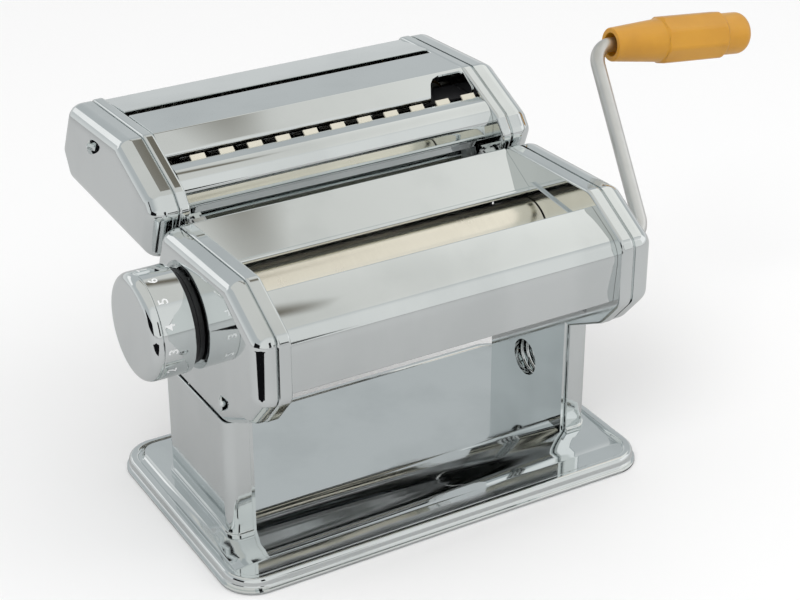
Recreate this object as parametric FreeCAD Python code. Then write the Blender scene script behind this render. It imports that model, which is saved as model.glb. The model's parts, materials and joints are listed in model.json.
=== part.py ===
import FreeCAD, Part
import math
import os

# A hand-cranked pasta roller: pressed base, two legs, a body with a pair of geared rollers, a dial that
# moves the rear roller, a bent crank on the right and a two-slot cutter hooked on the back.
# Frame: millimetres, +Z up, X along the rollers with the crank at +X, the front at -Y.
# The origin is the middle of the base, on the surface that it stands on.

V = FreeCAD.Vector

# Base
base_length = 201.0
base_depth = 122.0
base_corner = 15.0
base_sheet = 1.2
lip_height = 1.5
lip_reach = 1.0
bead_width = 6.5
bead_height = 6.4
bead_round = 2.6
groove_width = 2.0
deck_height = 8.0
deck_taper = 2.5
slide_start = -15.0
slide_angle = 12.5

# Side plates and legs
inner_width = 151.0
plate_sheet = 2.0
rim_depth = 6.0
rim_sheet = 1.5
rim_round = 1.2
head_round = 7.0
leg_depth = 60.0
leg_width = 10.5
leg_sheet = 1.2
leg_corner = 4.5
foot_reach = 1.0
foot_height = 2.2
tongue_depth = 57.0
clamp_hole_radius = 8.5
clamp_hole_y = 1.0
clamp_hole_z = 31.0

# Outline of the side plate's head, from the top at the back, round the front, to the leg
head_top = 127.5
head_back = 22.0
head_crown = -41.0
head_crown_z = 130.3
head_front = -66.5
head_brow = 116.0
head_cheek = 88.5
head_chin_y = -54.0
head_chin_z = 74.0
head_bottom = 62.0
head_leg = 31.0
head_nape = 104.0

# Side covers
cover_depth = 7.8
gear_cover_depth = 10.2
cover_sheet = 1.4
cover_round = 7.2
cover_inset = 0.4
cover_seam = 0.8
plug_depth = 1.2
plug_sheet = 1.2

# Fits
run_fit = 0.05
slide_fit = 0.3
end_fit = 0.5

# Rollers
axis_z = 95.5
front_axis_y = -29.7
roller_radius = 14.5
roller_gap = 1.2
journal_radius = 6.0
bush_wall = 2.0
bush_flange = 2.0
bush_flange_depth = 1.2
hub_reach = 1.2
gear_teeth = 14
gear_width = 4.0
gear_gap = 0.6
gear_addendum = 2.0
gear_dedendum = 3.2
gear_backlash = 2.3
socket_flats = 7.3
socket_depth = 16.0

# Rear roller's carriage and its cam
carriage_travel = 0.9
block_half = 9.0
block_sheet = 2.4
block_margin = 2.5
rod_margin = 1.8
carriage_rod_radius = 3.0
rod_a_y = 6.0
rod_a_z = -19.5
rod_b_y = 17.5
rod_b_z = -10.0
cam_radius = 7.0
cam_throw = 0.92
cam_width = 3.6
yoke_wall = 3.5
yoke_depth = 4.8

# Adjuster and dial knob
adjuster_y = 4.4
shaft_radius = 5.0
shaft_flats = 8.0
index_radius = 19.5
index_depth = 2.4
index_circle = 15.0
index_holes = 7
index_step = 26.7
knob_radius = 22.5
knob_length = 13.4
knob_wall = 2.0
knob_gap = 0.4
web_depth = 2.5
web_setback = 1.1
well_radius = 9.0
well_wall = 2.0
cap_depth = 5.0
cap_round = 4.4
pin_radius = 1.3
spring_wire = 1.0
spring_radius = 6.2
spring_turns = 4
spring_length = 9.0
washer_radius = 7.4
washer_depth = 1.2
knob_screw_radius = 4.2
knob_screw_depth = 1.6

# Scrapers and tie rods
tie_radius = 3.5
tie_screw_radius = 4.5
tie_screw_depth = 1.8
tie_front_y = -55.0
tie_front_z = 104.0
tie_low_y = -42.0
tie_low_z = 76.0
tie_tray_y = 13.0
tie_tray_z = 113.5
tie_back_y = 24.0
tie_back_z = 69.0
blade_sheet = 1.2
blade_gap = 0.4
blade_end = 1.5
clip_wall = 1.4

# Front panel, feed tray, guides and rear panel
skin_sheet = 1.0
skin_bend = 3.0
panel_lip_y = -44.0
panel_lip_z = 124.3
panel_lip_radius = 1.5
panel_brow_y = -64.0
panel_brow_z = 113.5
panel_foot_y = -61.5
panel_foot_z = 87.5
panel_return = 7.0
panel_bend = 8.0
tray_lip_y = 1.6
tray_lip_z = 114.6
tray_lip_radius = 1.2
tray_back_y = 23.0
tray_back_z = 126.4
tray_drop = 2.8
guide_sheet = 1.3
guide_reach = 30.0
guide_root = 5.0
guide_tip = 2.4
rear_foot_z = 74.5

# Cover studs and screws
stud_radius = 2.5
stud_front_y = -52.0
stud_front_z = 90.0
stud_screw_y = -32.6
stud_screw_z = 74.2
screw_radius = 3.3
screw_depth = 1.5
leg_screw_radius = 3.5
leg_screw_depth = 2.0
leg_screw_y = 20.0
leg_screw_back = 0.0

# Crank
crank_rod = 3.2
crank_flats = 7.0
crank_shank = 14.0
crank_neck = 20.8
crank_length = 88.0
crank_lean = 6.0
crank_bend = 9.0
crank_rest = 40.0
grip_length = 72.0
grip_collar = 7.5
grip_waist = 9.7
grip_collar_length = 24.5
grip_radius = 10.9
grip_shoulder = 1.2
grip_body_length = 33.5
grip_end_radius = 9.5
grip_end_round = 5.0
grip_facets = 8
grip_facet_cut = 0.5
grip_standoff = 9.0
grip_recess = 5.2
grip_recess_depth = 5.0
pin_reach = 58.0
clip_radius = 5.2
clip_depth = 1.2

# Cutter attachment
cutter_inner_width = 149.0
cutter_gap = 1.2
cutter_rim_depth = 5.0
cutter_cover_depth = 11.5
cutter_corner = 5.0
cutter_back = 125.0
cutter_back_z = 125.0
cutter_tail = 113.0
cutter_tail_z = 149.0
cutter_ridge = 57.0
cutter_ridge_z = 152.0
cutter_nose = 28.0
cutter_nose_z = 139.0
cutter_floor = 107.5
cutter_heel = 117.0
cutter_heel_z = 110.5
cutter_axis_z = 131.5
cutter_radius = 8.5
cutter_core = 5.7
cutter_centres = 15.2
wide_nip_y = 48.5
narrow_nip_y = 85.8
wide_pitch = 13.0
wide_rings = 11
narrow_pitch = 6.0
narrow_rings = 24
ring_fit = 0.35
cutter_journal = 5.4
cutter_bush_wall = 1.2
cutter_bush_flange = 0.6
cutter_teeth = 12
cutter_gear_width = 4.0
cutter_addendum = 1.1
cutter_dedendum = 1.7
cutter_backlash = 0.8
comb_fit = 0.5
comb_depth = 5.0
comb_bar = 3.0
cutter_sheet = 1.0
slot_narrow = 4.0
slot_wide = 5.0
apron_front = 30.5
apron_top_z = 142.0
apron_bend_z = 131.8
apron_foot_z = 120.5
apron_step = 0.3
apron_jog = 1.7
apron_jog_z = 128.2
centre_ridge_y = 57.5
centre_ridge_z = 151.8
centre_back_z = 150.8
centre_edge_z = 145.3
tray_edge_y = 111.0
tray_edge_z = 148.0
cutter_tie_radius = 2.5
cutter_tie_y = 66.0
cutter_tie_z = 117.0
cutter_tie_back = 104.0
cutter_stud_y = 83.3
cutter_stud_z = 140.0
cutter_stud_right = 66.0

# Hooks of the cutter and their sockets on the body
hook_x = 70.0
hook_width = 4.6
hook_depth = 2.0
hook_sheet = 1.2
hook_web = 2.2
hook_length = 18.0
hook_top = -4.0
socket_wall = 1.0
socket_setback = -0.2
hook_fit = 0.35

# Places worked out from the sizes
plate_in = inner_width / 2
plate_out = plate_in + plate_sheet
rim_out = plate_in + rim_depth
cover_in = rim_out + cover_seam
dial_cover_out = cover_in + cover_depth
gear_cover_out = cover_in + gear_cover_depth
hub_out = gear_cover_out + hub_reach
rear_axis_y = front_axis_y + 2 * roller_radius + roller_gap
gear_in = plate_out + slide_fit + block_sheet + gear_gap
slide_end = -(base_depth / 2 - lip_reach - bead_width - groove_width)
slide_radius = (slide_start - slide_end) / 2 / math.sin(math.radians(slide_angle))
groove_height = deck_height - 2 * slide_radius * (1 - math.cos(math.radians(slide_angle)))
leg_out = plate_out + leg_width
cutter_in = cutter_inner_width / 2
cutter_plate_out = cutter_in + plate_sheet
cutter_rim_out = cutter_in + cutter_rim_depth
cutter_cover_in = cutter_rim_out + cover_seam
cutter_cover_out = cutter_cover_in + cutter_cover_depth
cutter_cover_face = cutter_cover_out - cover_sheet
index_face = dial_cover_out + index_depth
knob_in = index_face + knob_gap
knob_out = knob_in + knob_length
head_profile = [(head_back, head_top), (head_crown, head_crown_z), (head_front, head_brow),
                (head_front, head_cheek), (head_chin_y, head_chin_z), (-head_leg, head_bottom),
                (head_leg, head_bottom), (head_leg, head_nape)]
dock_length = math.hypot(head_leg - head_back, head_top - head_nape)
dock_up = ((head_back - head_leg) / dock_length, (head_top - head_nape) / dock_length)
dock_out = (dock_up[1], -dock_up[0])


# Shapes

def box(x0, x1, y0, y1, z0, z1):
    return Part.makeBox(x1 - x0, y1 - y0, z1 - z0, V(x0, y0, z0))


def bar_x(y, z, radius, x0, x1):
    return Part.makeCylinder(radius, x1 - x0, V(x0, y, z), V(1, 0, 0))


def hex_x(y, z, flats, x0, x1):
    corner = flats / math.sqrt(3)
    ring = [V(x0, y + corner * math.cos(k * math.pi / 3), z + corner * math.sin(k * math.pi / 3))
            for k in range(7)]
    return Part.Face(Part.makePolygon(ring)).extrude(V(x1 - x0, 0, 0))


def rounded_wire(points, radii):
    # Closed wire of straight runs joined by tangent arcs, one radius per corner
    edges = []
    ends = []
    count = len(points)
    for k in range(count):
        here = points[k]
        before = (points[k - 1] - here).normalize()
        after = (points[(k + 1) % count] - here).normalize()
        half = before.getAngle(after) / 2
        if radii[k] <= 0 or half > 1.5707:
            ends.append((here, here, None))
            continue
        run = radii[k] / math.tan(half)
        middle = (before + after).normalize() * (radii[k] / math.sin(half) - radii[k])
        ends.append((here + before * run, here + after * run, here + middle))
    for k in range(count):
        start, stop, middle = ends[k]
        if middle is not None:
            edges.append(Part.Arc(start, middle, stop).toShape())
        following = ends[(k + 1) % count][0]
        if stop.distanceToPoint(following) > 1e-6:
            edges.append(Part.LineSegment(stop, following).toShape())
    return Part.Wire(edges)


def yz_prism(points, radius, x0, x1):
    # Outline in Y and Z with rounded corners, drawn out along X
    radii = radius if isinstance(radius, list) else [radius] * len(points)
    wire = rounded_wire([V(x0, y, z) for y, z in points], radii)
    return Part.Face(wire).extrude(V(x1 - x0, 0, 0))


def plan_wire(x0, x1, y0, y1, radius, z):
    corners = [V(x0, y0, z), V(x1, y0, z), V(x1, y1, z), V(x0, y1, z)]
    radii = radius if isinstance(radius, list) else [radius] * 4
    return rounded_wire(corners, radii)


def plan_prism(x0, x1, y0, y1, radius, z0, z1):
    return Part.Face(plan_wire(x0, x1, y0, y1, radius, z0)).extrude(V(0, 0, z1 - z0))


def moved_edges(points, distance):
    # Outline with each edge moved in by a distance and met again at the corners
    count = len(points)
    area = sum(points[k][0] * points[(k + 1) % count][1] - points[(k + 1) % count][0] * points[k][1]
               for k in range(count))
    side = 1 if area > 0 else -1
    lines = []
    for k in range(count):
        (y0, z0), (y1, z1) = points[k], points[(k + 1) % count]
        length = math.hypot(y1 - y0, z1 - z0)
        normal = (-(z1 - z0) / length * side, (y1 - y0) / length * side)
        lines.append((normal, normal[0] * y0 + normal[1] * z0 + distance))
    corners = []
    for k in range(count):
        (a, b), c = lines[k - 1]
        (d, e), f = lines[k]
        det = a * e - b * d
        corners.append(((c * e - b * f) / det, (a * f - c * d) / det))
    return corners


def sheet_x(path, thick, bend, x0, x1):
    # Bent sheet: a path in Y and Z given its thickness on the left side, drawn out along X
    normals = []
    for (y0, z0), (y1, z1) in zip(path, path[1:]):
        length = math.hypot(y1 - y0, z1 - z0)
        normals.append((-(z1 - z0) / length, (y1 - y0) / length))
    far = [(path[0][0] + thick * normals[0][0], path[0][1] + thick * normals[0][1])]
    near_radii, far_radii = [0.0], [0.0]
    bends = bend if isinstance(bend, list) else [bend] * (len(path) - 2)
    for k in range(1, len(path) - 1):
        (a, b), (c, d) = normals[k - 1], normals[k]
        share = thick / (1 + a * c + b * d)
        far.append((path[k][0] + share * (a + c), path[k][1] + share * (b + d)))
        left_turn = a * d - b * c > 0
        near_radii.append(bends[k - 1] + thick if left_turn else bends[k - 1])
        far_radii.append(bends[k - 1] if left_turn else bends[k - 1] + thick)
    far.append((path[-1][0] + thick * normals[-1][0], path[-1][1] + thick * normals[-1][1]))
    near_radii.append(0.0)
    far_radii.append(0.0)
    return yz_prism(list(path) + far[::-1], near_radii + far_radii[::-1], x0, x1)


def edges_at_x(shape, x):
    return [e for e in shape.Edges if all(abs(v.X - x) < 1e-4 for v in e.Vertexes)]


def edges_at_z(shape, z):
    return [e for e in shape.Edges if all(abs(v.Z - z) < 1e-4 for v in e.Vertexes)]


def mirrored(shape):
    return shape.mirror(V(0, 0, 0), V(1, 0, 0))


def fused(shapes):
    return shapes[0].fuse(shapes[1:]).removeSplitter()


def gear_x(y, z, centres, teeth, addendum, dedendum, backlash, turn, x0, x1):
    # Spur gear with straight flanks, thin teeth for the change of centres, and half a pitch of turn
    pitch = centres / 2
    tooth = (math.pi * pitch / teeth - backlash / 2) / 2
    flank = math.tan(math.radians(20))
    outline = []
    for k in range(teeth):
        middle = 2 * math.pi * (k + turn) / teeth
        for radius, half in ((pitch - dedendum, tooth + dedendum * flank),
                             (pitch + addendum, tooth - addendum * flank)):
            outline.append((radius, middle - half / radius))
        for radius, half in ((pitch + addendum, tooth - addendum * flank),
                             (pitch - dedendum, tooth + dedendum * flank)):
            outline.append((radius, middle + half / radius))
    ring = [V(x0, y + r * math.cos(a), z + r * math.sin(a)) for r, a in outline]
    return Part.Face(Part.makePolygon(ring + [ring[0]])).extrude(V(x1 - x0, 0, 0))


def dock(along, out):
    # Place on the slanted line where the cutter meets the body: up along it and out from it
    return (head_back + along * dock_up[0] + out * dock_out[0],
            head_top + along * dock_up[1] + out * dock_out[1])


# Base and legs

def deck_block(lift):
    # Everything below the deck's surface: flat at the back, with the slide towards the front
    half_turn = math.radians(slide_angle) / 2
    full_turn = math.radians(slide_angle)
    half = base_length / 2 + foot_reach
    low = -deck_height
    top = deck_height + lift
    end = groove_height + lift
    middle = V(-half, slide_start - slide_radius * math.sin(full_turn),
               top - slide_radius * (1 - math.cos(full_turn)))
    crest = V(-half, slide_start - slide_radius * math.sin(half_turn),
              top - slide_radius * (1 - math.cos(half_turn)))
    hollow = V(-half, slide_end + slide_radius * math.sin(half_turn),
               end + slide_radius * (1 - math.cos(half_turn)))
    run = [V(-half, base_depth, low), V(-half, base_depth, top), V(-half, slide_start, top)]
    rest = [V(-half, slide_end, end), V(-half, -base_depth, end), V(-half, -base_depth, low)]
    edges = [Part.makeLine(a, b) for a, b in zip(run, run[1:])]
    edges += [Part.Arc(run[-1], crest, middle).toShape(), Part.Arc(middle, hollow, rest[0]).toShape()]
    edges += [Part.makeLine(a, b) for a, b in zip(rest, rest[1:] + run[:1])]
    return Part.Face(Part.Wire(edges)).extrude(V(2 * half, 0, 0))


def base_area(inset, z):
    return plan_wire(inset - base_length / 2, base_length / 2 - inset, inset - base_depth / 2,
                     base_depth / 2 - inset, max(base_corner - inset, 1.0), z)


def base_prism(inset, z0, z1):
    return Part.Face(base_area(inset, z0)).extrude(V(0, 0, z1 - z0))


def base_plate():
    bead_in = lip_reach + bead_width
    deck_in = bead_in + groove_width
    bead = base_prism(lip_reach, 0, bead_height).cut(base_prism(bead_in, 0, bead_height))
    bead = bead.makeFillet(bead_round, edges_at_z(bead, bead_height))
    floor = base_prism(lip_reach + bead_width / 2, 0, groove_height)
    cone = Part.makeLoft([base_area(deck_in, 0), base_area(deck_in, groove_height),
                          base_area(deck_in + deck_taper, deck_height)], True, True)
    deck = cone.common(deck_block(0))
    body = fused([base_prism(0, 0, lip_height), bead, floor, deck])
    pocket = base_prism(deck_in + deck_taper, -1, deck_height).common(deck_block(-base_sheet))
    body = body.cut(pocket)
    for x, y in leg_screw_places():
        body = body.cut(Part.makeCylinder(leg_screw_radius / 2 + slide_fit, deck_height * 2, V(x, y, -1)))
    return body


def leg_screw_places():
    x = plate_out + leg_width / 2
    return [(side * x, y) for side in (-1, 1) for y in (leg_screw_back, leg_screw_y)]


def leg_screws():
    # Pan heads under the deck, with shanks up through the side plate's foot
    under = deck_height - base_sheet
    shank = base_sheet + plate_sheet
    return [Part.makeCylinder(leg_screw_radius, leg_screw_depth, V(x, y, under - leg_screw_depth)).fuse(
        Part.makeCylinder(leg_screw_radius / 2, shank, V(x, y, under))).removeSplitter()
        for x, y in leg_screw_places()]


def leg_area(grow, z0, z1):
    round_in = leg_corner + grow
    return plan_prism(plate_out, leg_out + grow, -leg_depth / 2 - grow, leg_depth / 2 + grow,
                      [0, round_in, round_in, 0], z0, z1)


def leg(clamped):
    room = plan_prism(plate_out - 1, leg_out - leg_sheet, leg_sheet - leg_depth / 2,
                      leg_depth / 2 - leg_sheet, [0, leg_corner - leg_sheet, leg_corner - leg_sheet, 0],
                      -1, head_bottom + 1)
    foot = leg_area(foot_reach, 0, head_bottom).common(deck_block(foot_height))
    shell = fused([leg_area(0, 0, head_bottom), foot]).cut(room).cut(deck_block(0))
    if clamped:
        shell = shell.cut(bar_x(clamp_hole_y, clamp_hole_z, clamp_hole_radius, plate_in, leg_out + 1))
    return shell


# Side plates and covers

def tie_places():
    return [(tie_front_y, tie_front_z), (tie_low_y, tie_low_z), (tie_tray_y, tie_tray_z),
            (tie_back_y, tie_back_z)]


def carriage_rod_places():
    return [(rear_axis_y + rod_a_y, axis_z + rod_a_z), (rear_axis_y + rod_b_y, axis_z + rod_b_z)]


def rimmed_pan(profile, corner, start, stop):
    # Outline drawn out along X, with both of its edges rounded over
    pan = yz_prism(profile, corner, start, stop)
    return pan.makeFillet(rim_round, edges_at_x(pan, start) + edges_at_x(pan, stop))


def side_plate(clamped):
    pan = rimmed_pan(head_profile, head_round, plate_in, rim_out)
    room = yz_prism(moved_edges(head_profile, rim_sheet), head_round - rim_sheet, plate_out, rim_out + 1)
    tongue = box(plate_in, plate_out, -tongue_depth / 2, tongue_depth / 2, 0, head_bottom + rim_sheet)
    foot = box(plate_in, leg_out - leg_sheet - end_fit, slide_start + end_fit,
               leg_depth / 2 - leg_sheet - end_fit, 0, head_bottom).common(deck_block(plate_sheet))
    plate = fused([pan.cut(room), tongue, foot]).cut(deck_block(0))
    through = plate_out + 1
    front_hole = journal_radius + run_fit + bush_wall + run_fit
    plate = plate.cut(bar_x(front_axis_y, axis_z, front_hole, plate_in - 1, through))
    slot_y = block_half + carriage_travel + slide_fit
    plate = plate.cut(box(plate_in - 1, through, rear_axis_y - slot_y, rear_axis_y + slot_y,
                          axis_z - block_half - run_fit, axis_z + block_half + run_fit))
    for y, z in carriage_rod_places():
        room = carriage_rod_radius + carriage_travel + slide_fit
        plate = plate.cut(bar_x(y, z, room, plate_in - 1, through))
    for x, y in leg_screw_places()[2:]:
        plate = plate.cut(Part.makeCylinder(leg_screw_radius / 2 + run_fit, deck_height * 2, V(x, y, 0)))
    for y, z in tie_places():
        plate = plate.cut(bar_x(y, z, tie_radius / 2 + run_fit, plate_in - 1, through))
    if clamped:
        plate = plate.cut(bar_x(clamp_hole_y, clamp_hole_z, clamp_hole_radius, plate_in - 1, through))
    return plate


def cover_shell(profile, rim_end, start, stop, edge_round):
    # Pan-shaped cover with a round edge and a plug that fits inside the plate's rim
    outer = moved_edges(profile, cover_inset)
    inner = moved_edges(outer, cover_sheet)
    body = yz_prism(outer, edge_round, start, stop)
    body = body.makeFillet(cover_round, edges_at_x(body, stop))
    room = yz_prism(inner, edge_round - cover_sheet, start - 1, stop - cover_sheet)
    room = room.makeFillet(cover_round - cover_sheet, edges_at_x(room, stop - cover_sheet))
    plug_line = moved_edges(profile, rim_sheet + run_fit)
    plug = yz_prism(plug_line, edge_round - rim_sheet, rim_end - plug_depth, start + cover_sheet)
    hole = yz_prism(moved_edges(plug_line, plug_sheet), edge_round - rim_sheet - plug_sheet,
                    rim_end - plug_depth - 1, start + cover_sheet + 1)
    return fused([body.cut(room), plug.cut(hole)])


def body_cover(stop, hole_y, hole_radius):
    cover = cover_shell(head_profile, rim_out, cover_in, stop, head_round)
    cover = cover.cut(bar_x(hole_y, axis_z, hole_radius, cover_in, stop + 1))
    return cover.cut(bar_x(stud_screw_y, stud_screw_z, screw_radius / 2 + run_fit, cover_in, stop + 1))


def cover_left():
    return mirrored(body_cover(dial_cover_out, adjuster_y, shaft_radius + bush_wall + 2 * run_fit))


def cover_right():
    return body_cover(gear_cover_out, front_axis_y, journal_radius + end_fit)


def stud(y, z, start, stop, tapped):
    post = bar_x(y, z, stud_radius, start, stop)
    if tapped:
        post = post.cut(bar_x(y, z, screw_radius / 2 + run_fit, stop - stud_radius * 2, stop + 1))
    return post


def cover_studs():
    posts = []
    for face, flip in ((dial_cover_out, True), (gear_cover_out, False)):
        for y, z, tapped in ((stud_front_y, stud_front_z, False), (stud_screw_y, stud_screw_z, True)):
            post = stud(y, z, plate_out, face - cover_sheet, tapped)
            posts.append(mirrored(post) if flip else post)
    return posts


def cover_screw(y, z, face):
    head = bar_x(y, z, screw_radius, face, face + screw_depth)
    shank = bar_x(y, z, screw_radius / 2, face - cover_sheet - stud_radius, face)
    dome = head.makeFillet(screw_depth * 0.6, edges_at_x(head, face + screw_depth))
    return fused([dome, shank])


def cover_screws():
    return [mirrored(cover_screw(stud_screw_y, stud_screw_z, dial_cover_out)),
            cover_screw(stud_screw_y, stud_screw_z, gear_cover_out)]


# Skins of the body

def front_panel():
    lip = (panel_lip_y, panel_lip_z)
    path = [(panel_foot_y + panel_return, panel_foot_z - 1.0), (panel_foot_y, panel_foot_z),
            (panel_brow_y, panel_brow_z), lip]
    skin = sheet_x(path, skin_sheet, [skin_bend, panel_bend], -plate_in, plate_in)
    bead = bar_x(lip[0], lip[1] - skin_sheet / 2, panel_lip_radius, -plate_in, plate_in)
    return fused([skin, bead])


def feed_tray():
    path = [(tray_lip_y, tray_lip_z), (tray_back_y, tray_back_z), (tray_back_y, tray_back_z - tray_drop)]
    skin = sheet_x(path, -skin_sheet, skin_sheet, -plate_in, plate_in)
    bead = bar_x(tray_lip_y, tray_lip_z - skin_sheet / 2, tray_lip_radius, -plate_in, plate_in)
    return fused([skin, bead])


def feed_guides():
    # Tapered fingers along the side plates, over the ends of both rollers
    start = tray_lip_y - tray_lip_radius
    root_z = tray_lip_z - tray_lip_radius
    outline = [(start, root_z), (start, root_z + guide_root), (start - guide_reach, root_z + guide_tip),
               (start - guide_reach, root_z)]
    finger = yz_prism(outline, [0, 1.0, 0.8, 0.8], plate_in - guide_sheet, plate_in)
    return [finger, mirrored(finger)]


def rear_panel():
    top = dock(hook_top - 1, -socket_setback)
    bend = dock(hook_top - hook_length - 5, -socket_setback)
    path = [(bend[0], rear_foot_z), bend, top]
    return sheet_x(path, skin_sheet, skin_bend, -plate_in, plate_in)


def tie_rods():
    return [bar_x(y, z, tie_radius, -plate_in, plate_in) for y, z in tie_places()]


def tie_screws():
    screws = []
    for y, z in tie_places():
        head = bar_x(y, z, tie_screw_radius, plate_out, plate_out + tie_screw_depth)
        shank = bar_x(y, z, tie_radius / 2, plate_in, plate_out)
        screw = fused([head, shank])
        screws += [screw, mirrored(screw)]
    return screws


def scraper(rod_y, rod_z, rod_radius, axis_y, length):
    # Upright blade under a roller, on a clip round its rod
    side = 1 if rod_y > axis_y else -1
    corner = abs(rod_y - axis_y) - blade_sheet / 2
    top = axis_z - math.sqrt((roller_radius + blade_gap) ** 2 - corner ** 2)
    clip = bar_x(rod_y, rod_z, rod_radius + run_fit + clip_wall, -length / 2, length / 2)
    blade = box(-length / 2, length / 2, rod_y - blade_sheet / 2, rod_y + blade_sheet / 2, rod_z, top)
    bore = bar_x(rod_y, rod_z, rod_radius + run_fit, -length, length)
    return fused([clip, blade]).cut(bore)


def socket_back():
    return -socket_setback + 2 * socket_wall + hook_depth + 2 * hook_fit


def accessory_sockets():
    # Upright channels on the rear panel, open at the top and at the back
    outer = hook_width / 2 + hook_fit + socket_wall
    inner = hook_width / 2 + hook_fit
    slit = hook_web / 2 + hook_fit
    low = hook_top - hook_length - hook_fit
    back = socket_back()

    def channel(half, out0, out1, along0, along1):
        corners = [dock(along0, out0), dock(along0, out1), dock(along1, out1), dock(along1, out0)]
        return yz_prism(corners, 0, hook_x - half, hook_x + half)

    body = channel(outer, -socket_setback, back, low - socket_wall, hook_top - 1)
    room = channel(inner, -socket_setback + socket_wall, back - socket_wall, low, 1)
    way = channel(slit, -socket_setback + socket_wall, back + 1, low, 1)
    socket = body.cut(room).cut(way)
    return [socket, mirrored(socket)]


# Front roller

def front_roller():
    end = plate_in - end_fit
    body = fused([bar_x(front_axis_y, axis_z, roller_radius, -end, end),
                  bar_x(front_axis_y, axis_z, journal_radius, -plate_out - bush_flange_depth, hub_out)])
    return body.cut(laid_back(hex_x(front_axis_y, axis_z, socket_flats, hub_out - socket_depth, hub_out + 1)))


def flanged_bush(y, z, bore, wall, flange, start, seat):
    # Bush from its inner end to the face that its flange lies on, with the flange outside
    sleeve = bar_x(y, z, bore + wall, start, seat)
    collar = bar_x(y, z, bore + wall + flange, seat, seat + bush_flange_depth)
    return fused([sleeve, collar]).cut(bar_x(y, z, bore, start - 1, seat + bush_flange_depth + 1))


def front_bushes():
    bush = flanged_bush(front_axis_y, axis_z, journal_radius + run_fit, bush_wall, bush_flange,
                        plate_in, plate_out)
    return [bush, mirrored(bush)]


def roller_gear(axis_y, turn):
    gear = gear_x(axis_y, axis_z, 2 * roller_radius + roller_gap, gear_teeth, gear_addendum,
                  gear_dedendum, gear_backlash, turn, gear_in, gear_in + gear_width)
    return gear.cut(bar_x(axis_y, axis_z, journal_radius, gear_in - 1, gear_in + gear_width + 1))


# Rear roller and its carriage

def rear_roller():
    end = plate_in - end_fit
    left_end = plate_out + block_sheet
    return fused([bar_x(rear_axis_y, axis_z, roller_radius, -end, end),
                  bar_x(rear_axis_y, axis_z, journal_radius, -left_end, gear_in + gear_width)])


def block_outline():
    half = block_half + block_margin
    reach = carriage_rod_radius + rod_margin
    outline = [(-half, half), (half, half), (rod_b_y + reach, rod_b_z + reach),
               (rod_b_y + reach, rod_b_z - reach), (rod_a_y + reach, rod_a_z - reach),
               (rod_a_y - reach, rod_a_z - reach), (-half, -half)]
    return [(rear_axis_y + y, axis_z + z) for y, z in outline]


def bearing_block(yoked):
    # Square boss in the side plate's slot, an arm for the rods and, on the left, the cam's yoke
    arm_in = plate_out + slide_fit
    arm_out = arm_in + block_sheet
    boss = box(plate_in, arm_in, rear_axis_y - block_half, rear_axis_y + block_half,
               axis_z - block_half, axis_z + block_half)
    pieces = [boss, yz_prism(block_outline(), block_margin, arm_in, arm_out)]
    slot_y = cam_radius + slide_fit
    slot_z = cam_radius + cam_throw + slide_fit
    if yoked:
        pieces.append(box(arm_out, arm_out + yoke_depth, adjuster_y - slot_y - yoke_wall,
                          adjuster_y + slot_y + yoke_wall, axis_z - slot_z - yoke_wall,
                          axis_z + slot_z + yoke_wall))
    block = fused(pieces)
    if yoked:
        slot = yz_prism([(adjuster_y - slot_y, axis_z - slot_z), (adjuster_y + slot_y, axis_z - slot_z),
                         (adjuster_y + slot_y, axis_z + slot_z), (adjuster_y - slot_y, axis_z + slot_z)],
                        0, arm_out, arm_out + yoke_depth + 1)
        block = block.cut(slot)
    bore = journal_radius + run_fit + bush_wall + run_fit
    block = block.cut(bar_x(rear_axis_y, axis_z, bore, plate_in - 1, arm_out + run_fit))
    for y, z in carriage_rod_places():
        block = block.cut(bar_x(y, z, carriage_rod_radius + run_fit, plate_in, arm_out + 1))
    return block


def carriage_rods():
    end = plate_out + slide_fit + block_sheet
    return [bar_x(y, z, carriage_rod_radius, -end, end) for y, z in carriage_rod_places()]


def rear_bushes():
    bore = journal_radius + run_fit
    start = plate_in
    stop = plate_out + slide_fit + block_sheet
    bush = bar_x(rear_axis_y, axis_z, bore + bush_wall, start, stop).cut(
        bar_x(rear_axis_y, axis_z, bore, start - 1, stop + 1))
    return [bush, mirrored(bush)]


# Adjuster and knob, made on the right and mirrored to the left

def adjuster_shaft():
    cam_in = plate_out + slide_fit + block_sheet + gear_gap
    cam = bar_x(adjuster_y, axis_z + cam_throw, cam_radius, cam_in, cam_in + cam_width)
    round_part = bar_x(adjuster_y, axis_z, shaft_radius, cam_in + cam_width, knob_in)
    flats = hex_x(adjuster_y, axis_z, shaft_flats, knob_in, spring_stop())
    return mirrored(fused([cam, round_part, flats]))


def spring_stop():
    # Where the washer on the end of the shaft holds the spring
    return knob_in + web_setback + web_depth + spring_length


def adjuster_bush():
    seat = dial_cover_out - cover_sheet
    bore = shaft_radius + run_fit
    sleeve = bar_x(adjuster_y, axis_z, bore + bush_wall, seat, index_face)
    collar = bar_x(adjuster_y, axis_z, bore + bush_wall + bush_flange, seat - bush_flange_depth, seat)
    bush = fused([sleeve, collar])
    return mirrored(bush.cut(bar_x(adjuster_y, axis_z, bore, seat - 5, index_face + 1)))


def index_place(number):
    angle = math.radians(90 + (number - (index_holes - 1) / 2) * index_step)
    return (adjuster_y + index_circle * math.cos(angle), axis_z + index_circle * math.sin(angle))


def index_plate():
    plate = bar_x(adjuster_y, axis_z, index_radius, dial_cover_out, index_face)
    hole = shaft_radius + run_fit + bush_wall + run_fit
    plate = plate.cut(bar_x(adjuster_y, axis_z, hole, dial_cover_out - 1, index_face + 1))
    for number in range(index_holes):
        y, z = index_place(number)
        plate = plate.cut(bar_x(y, z, pin_radius + slide_fit, dial_cover_out + index_depth / 3,
                                index_face + 1))
    return mirrored(plate)


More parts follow.
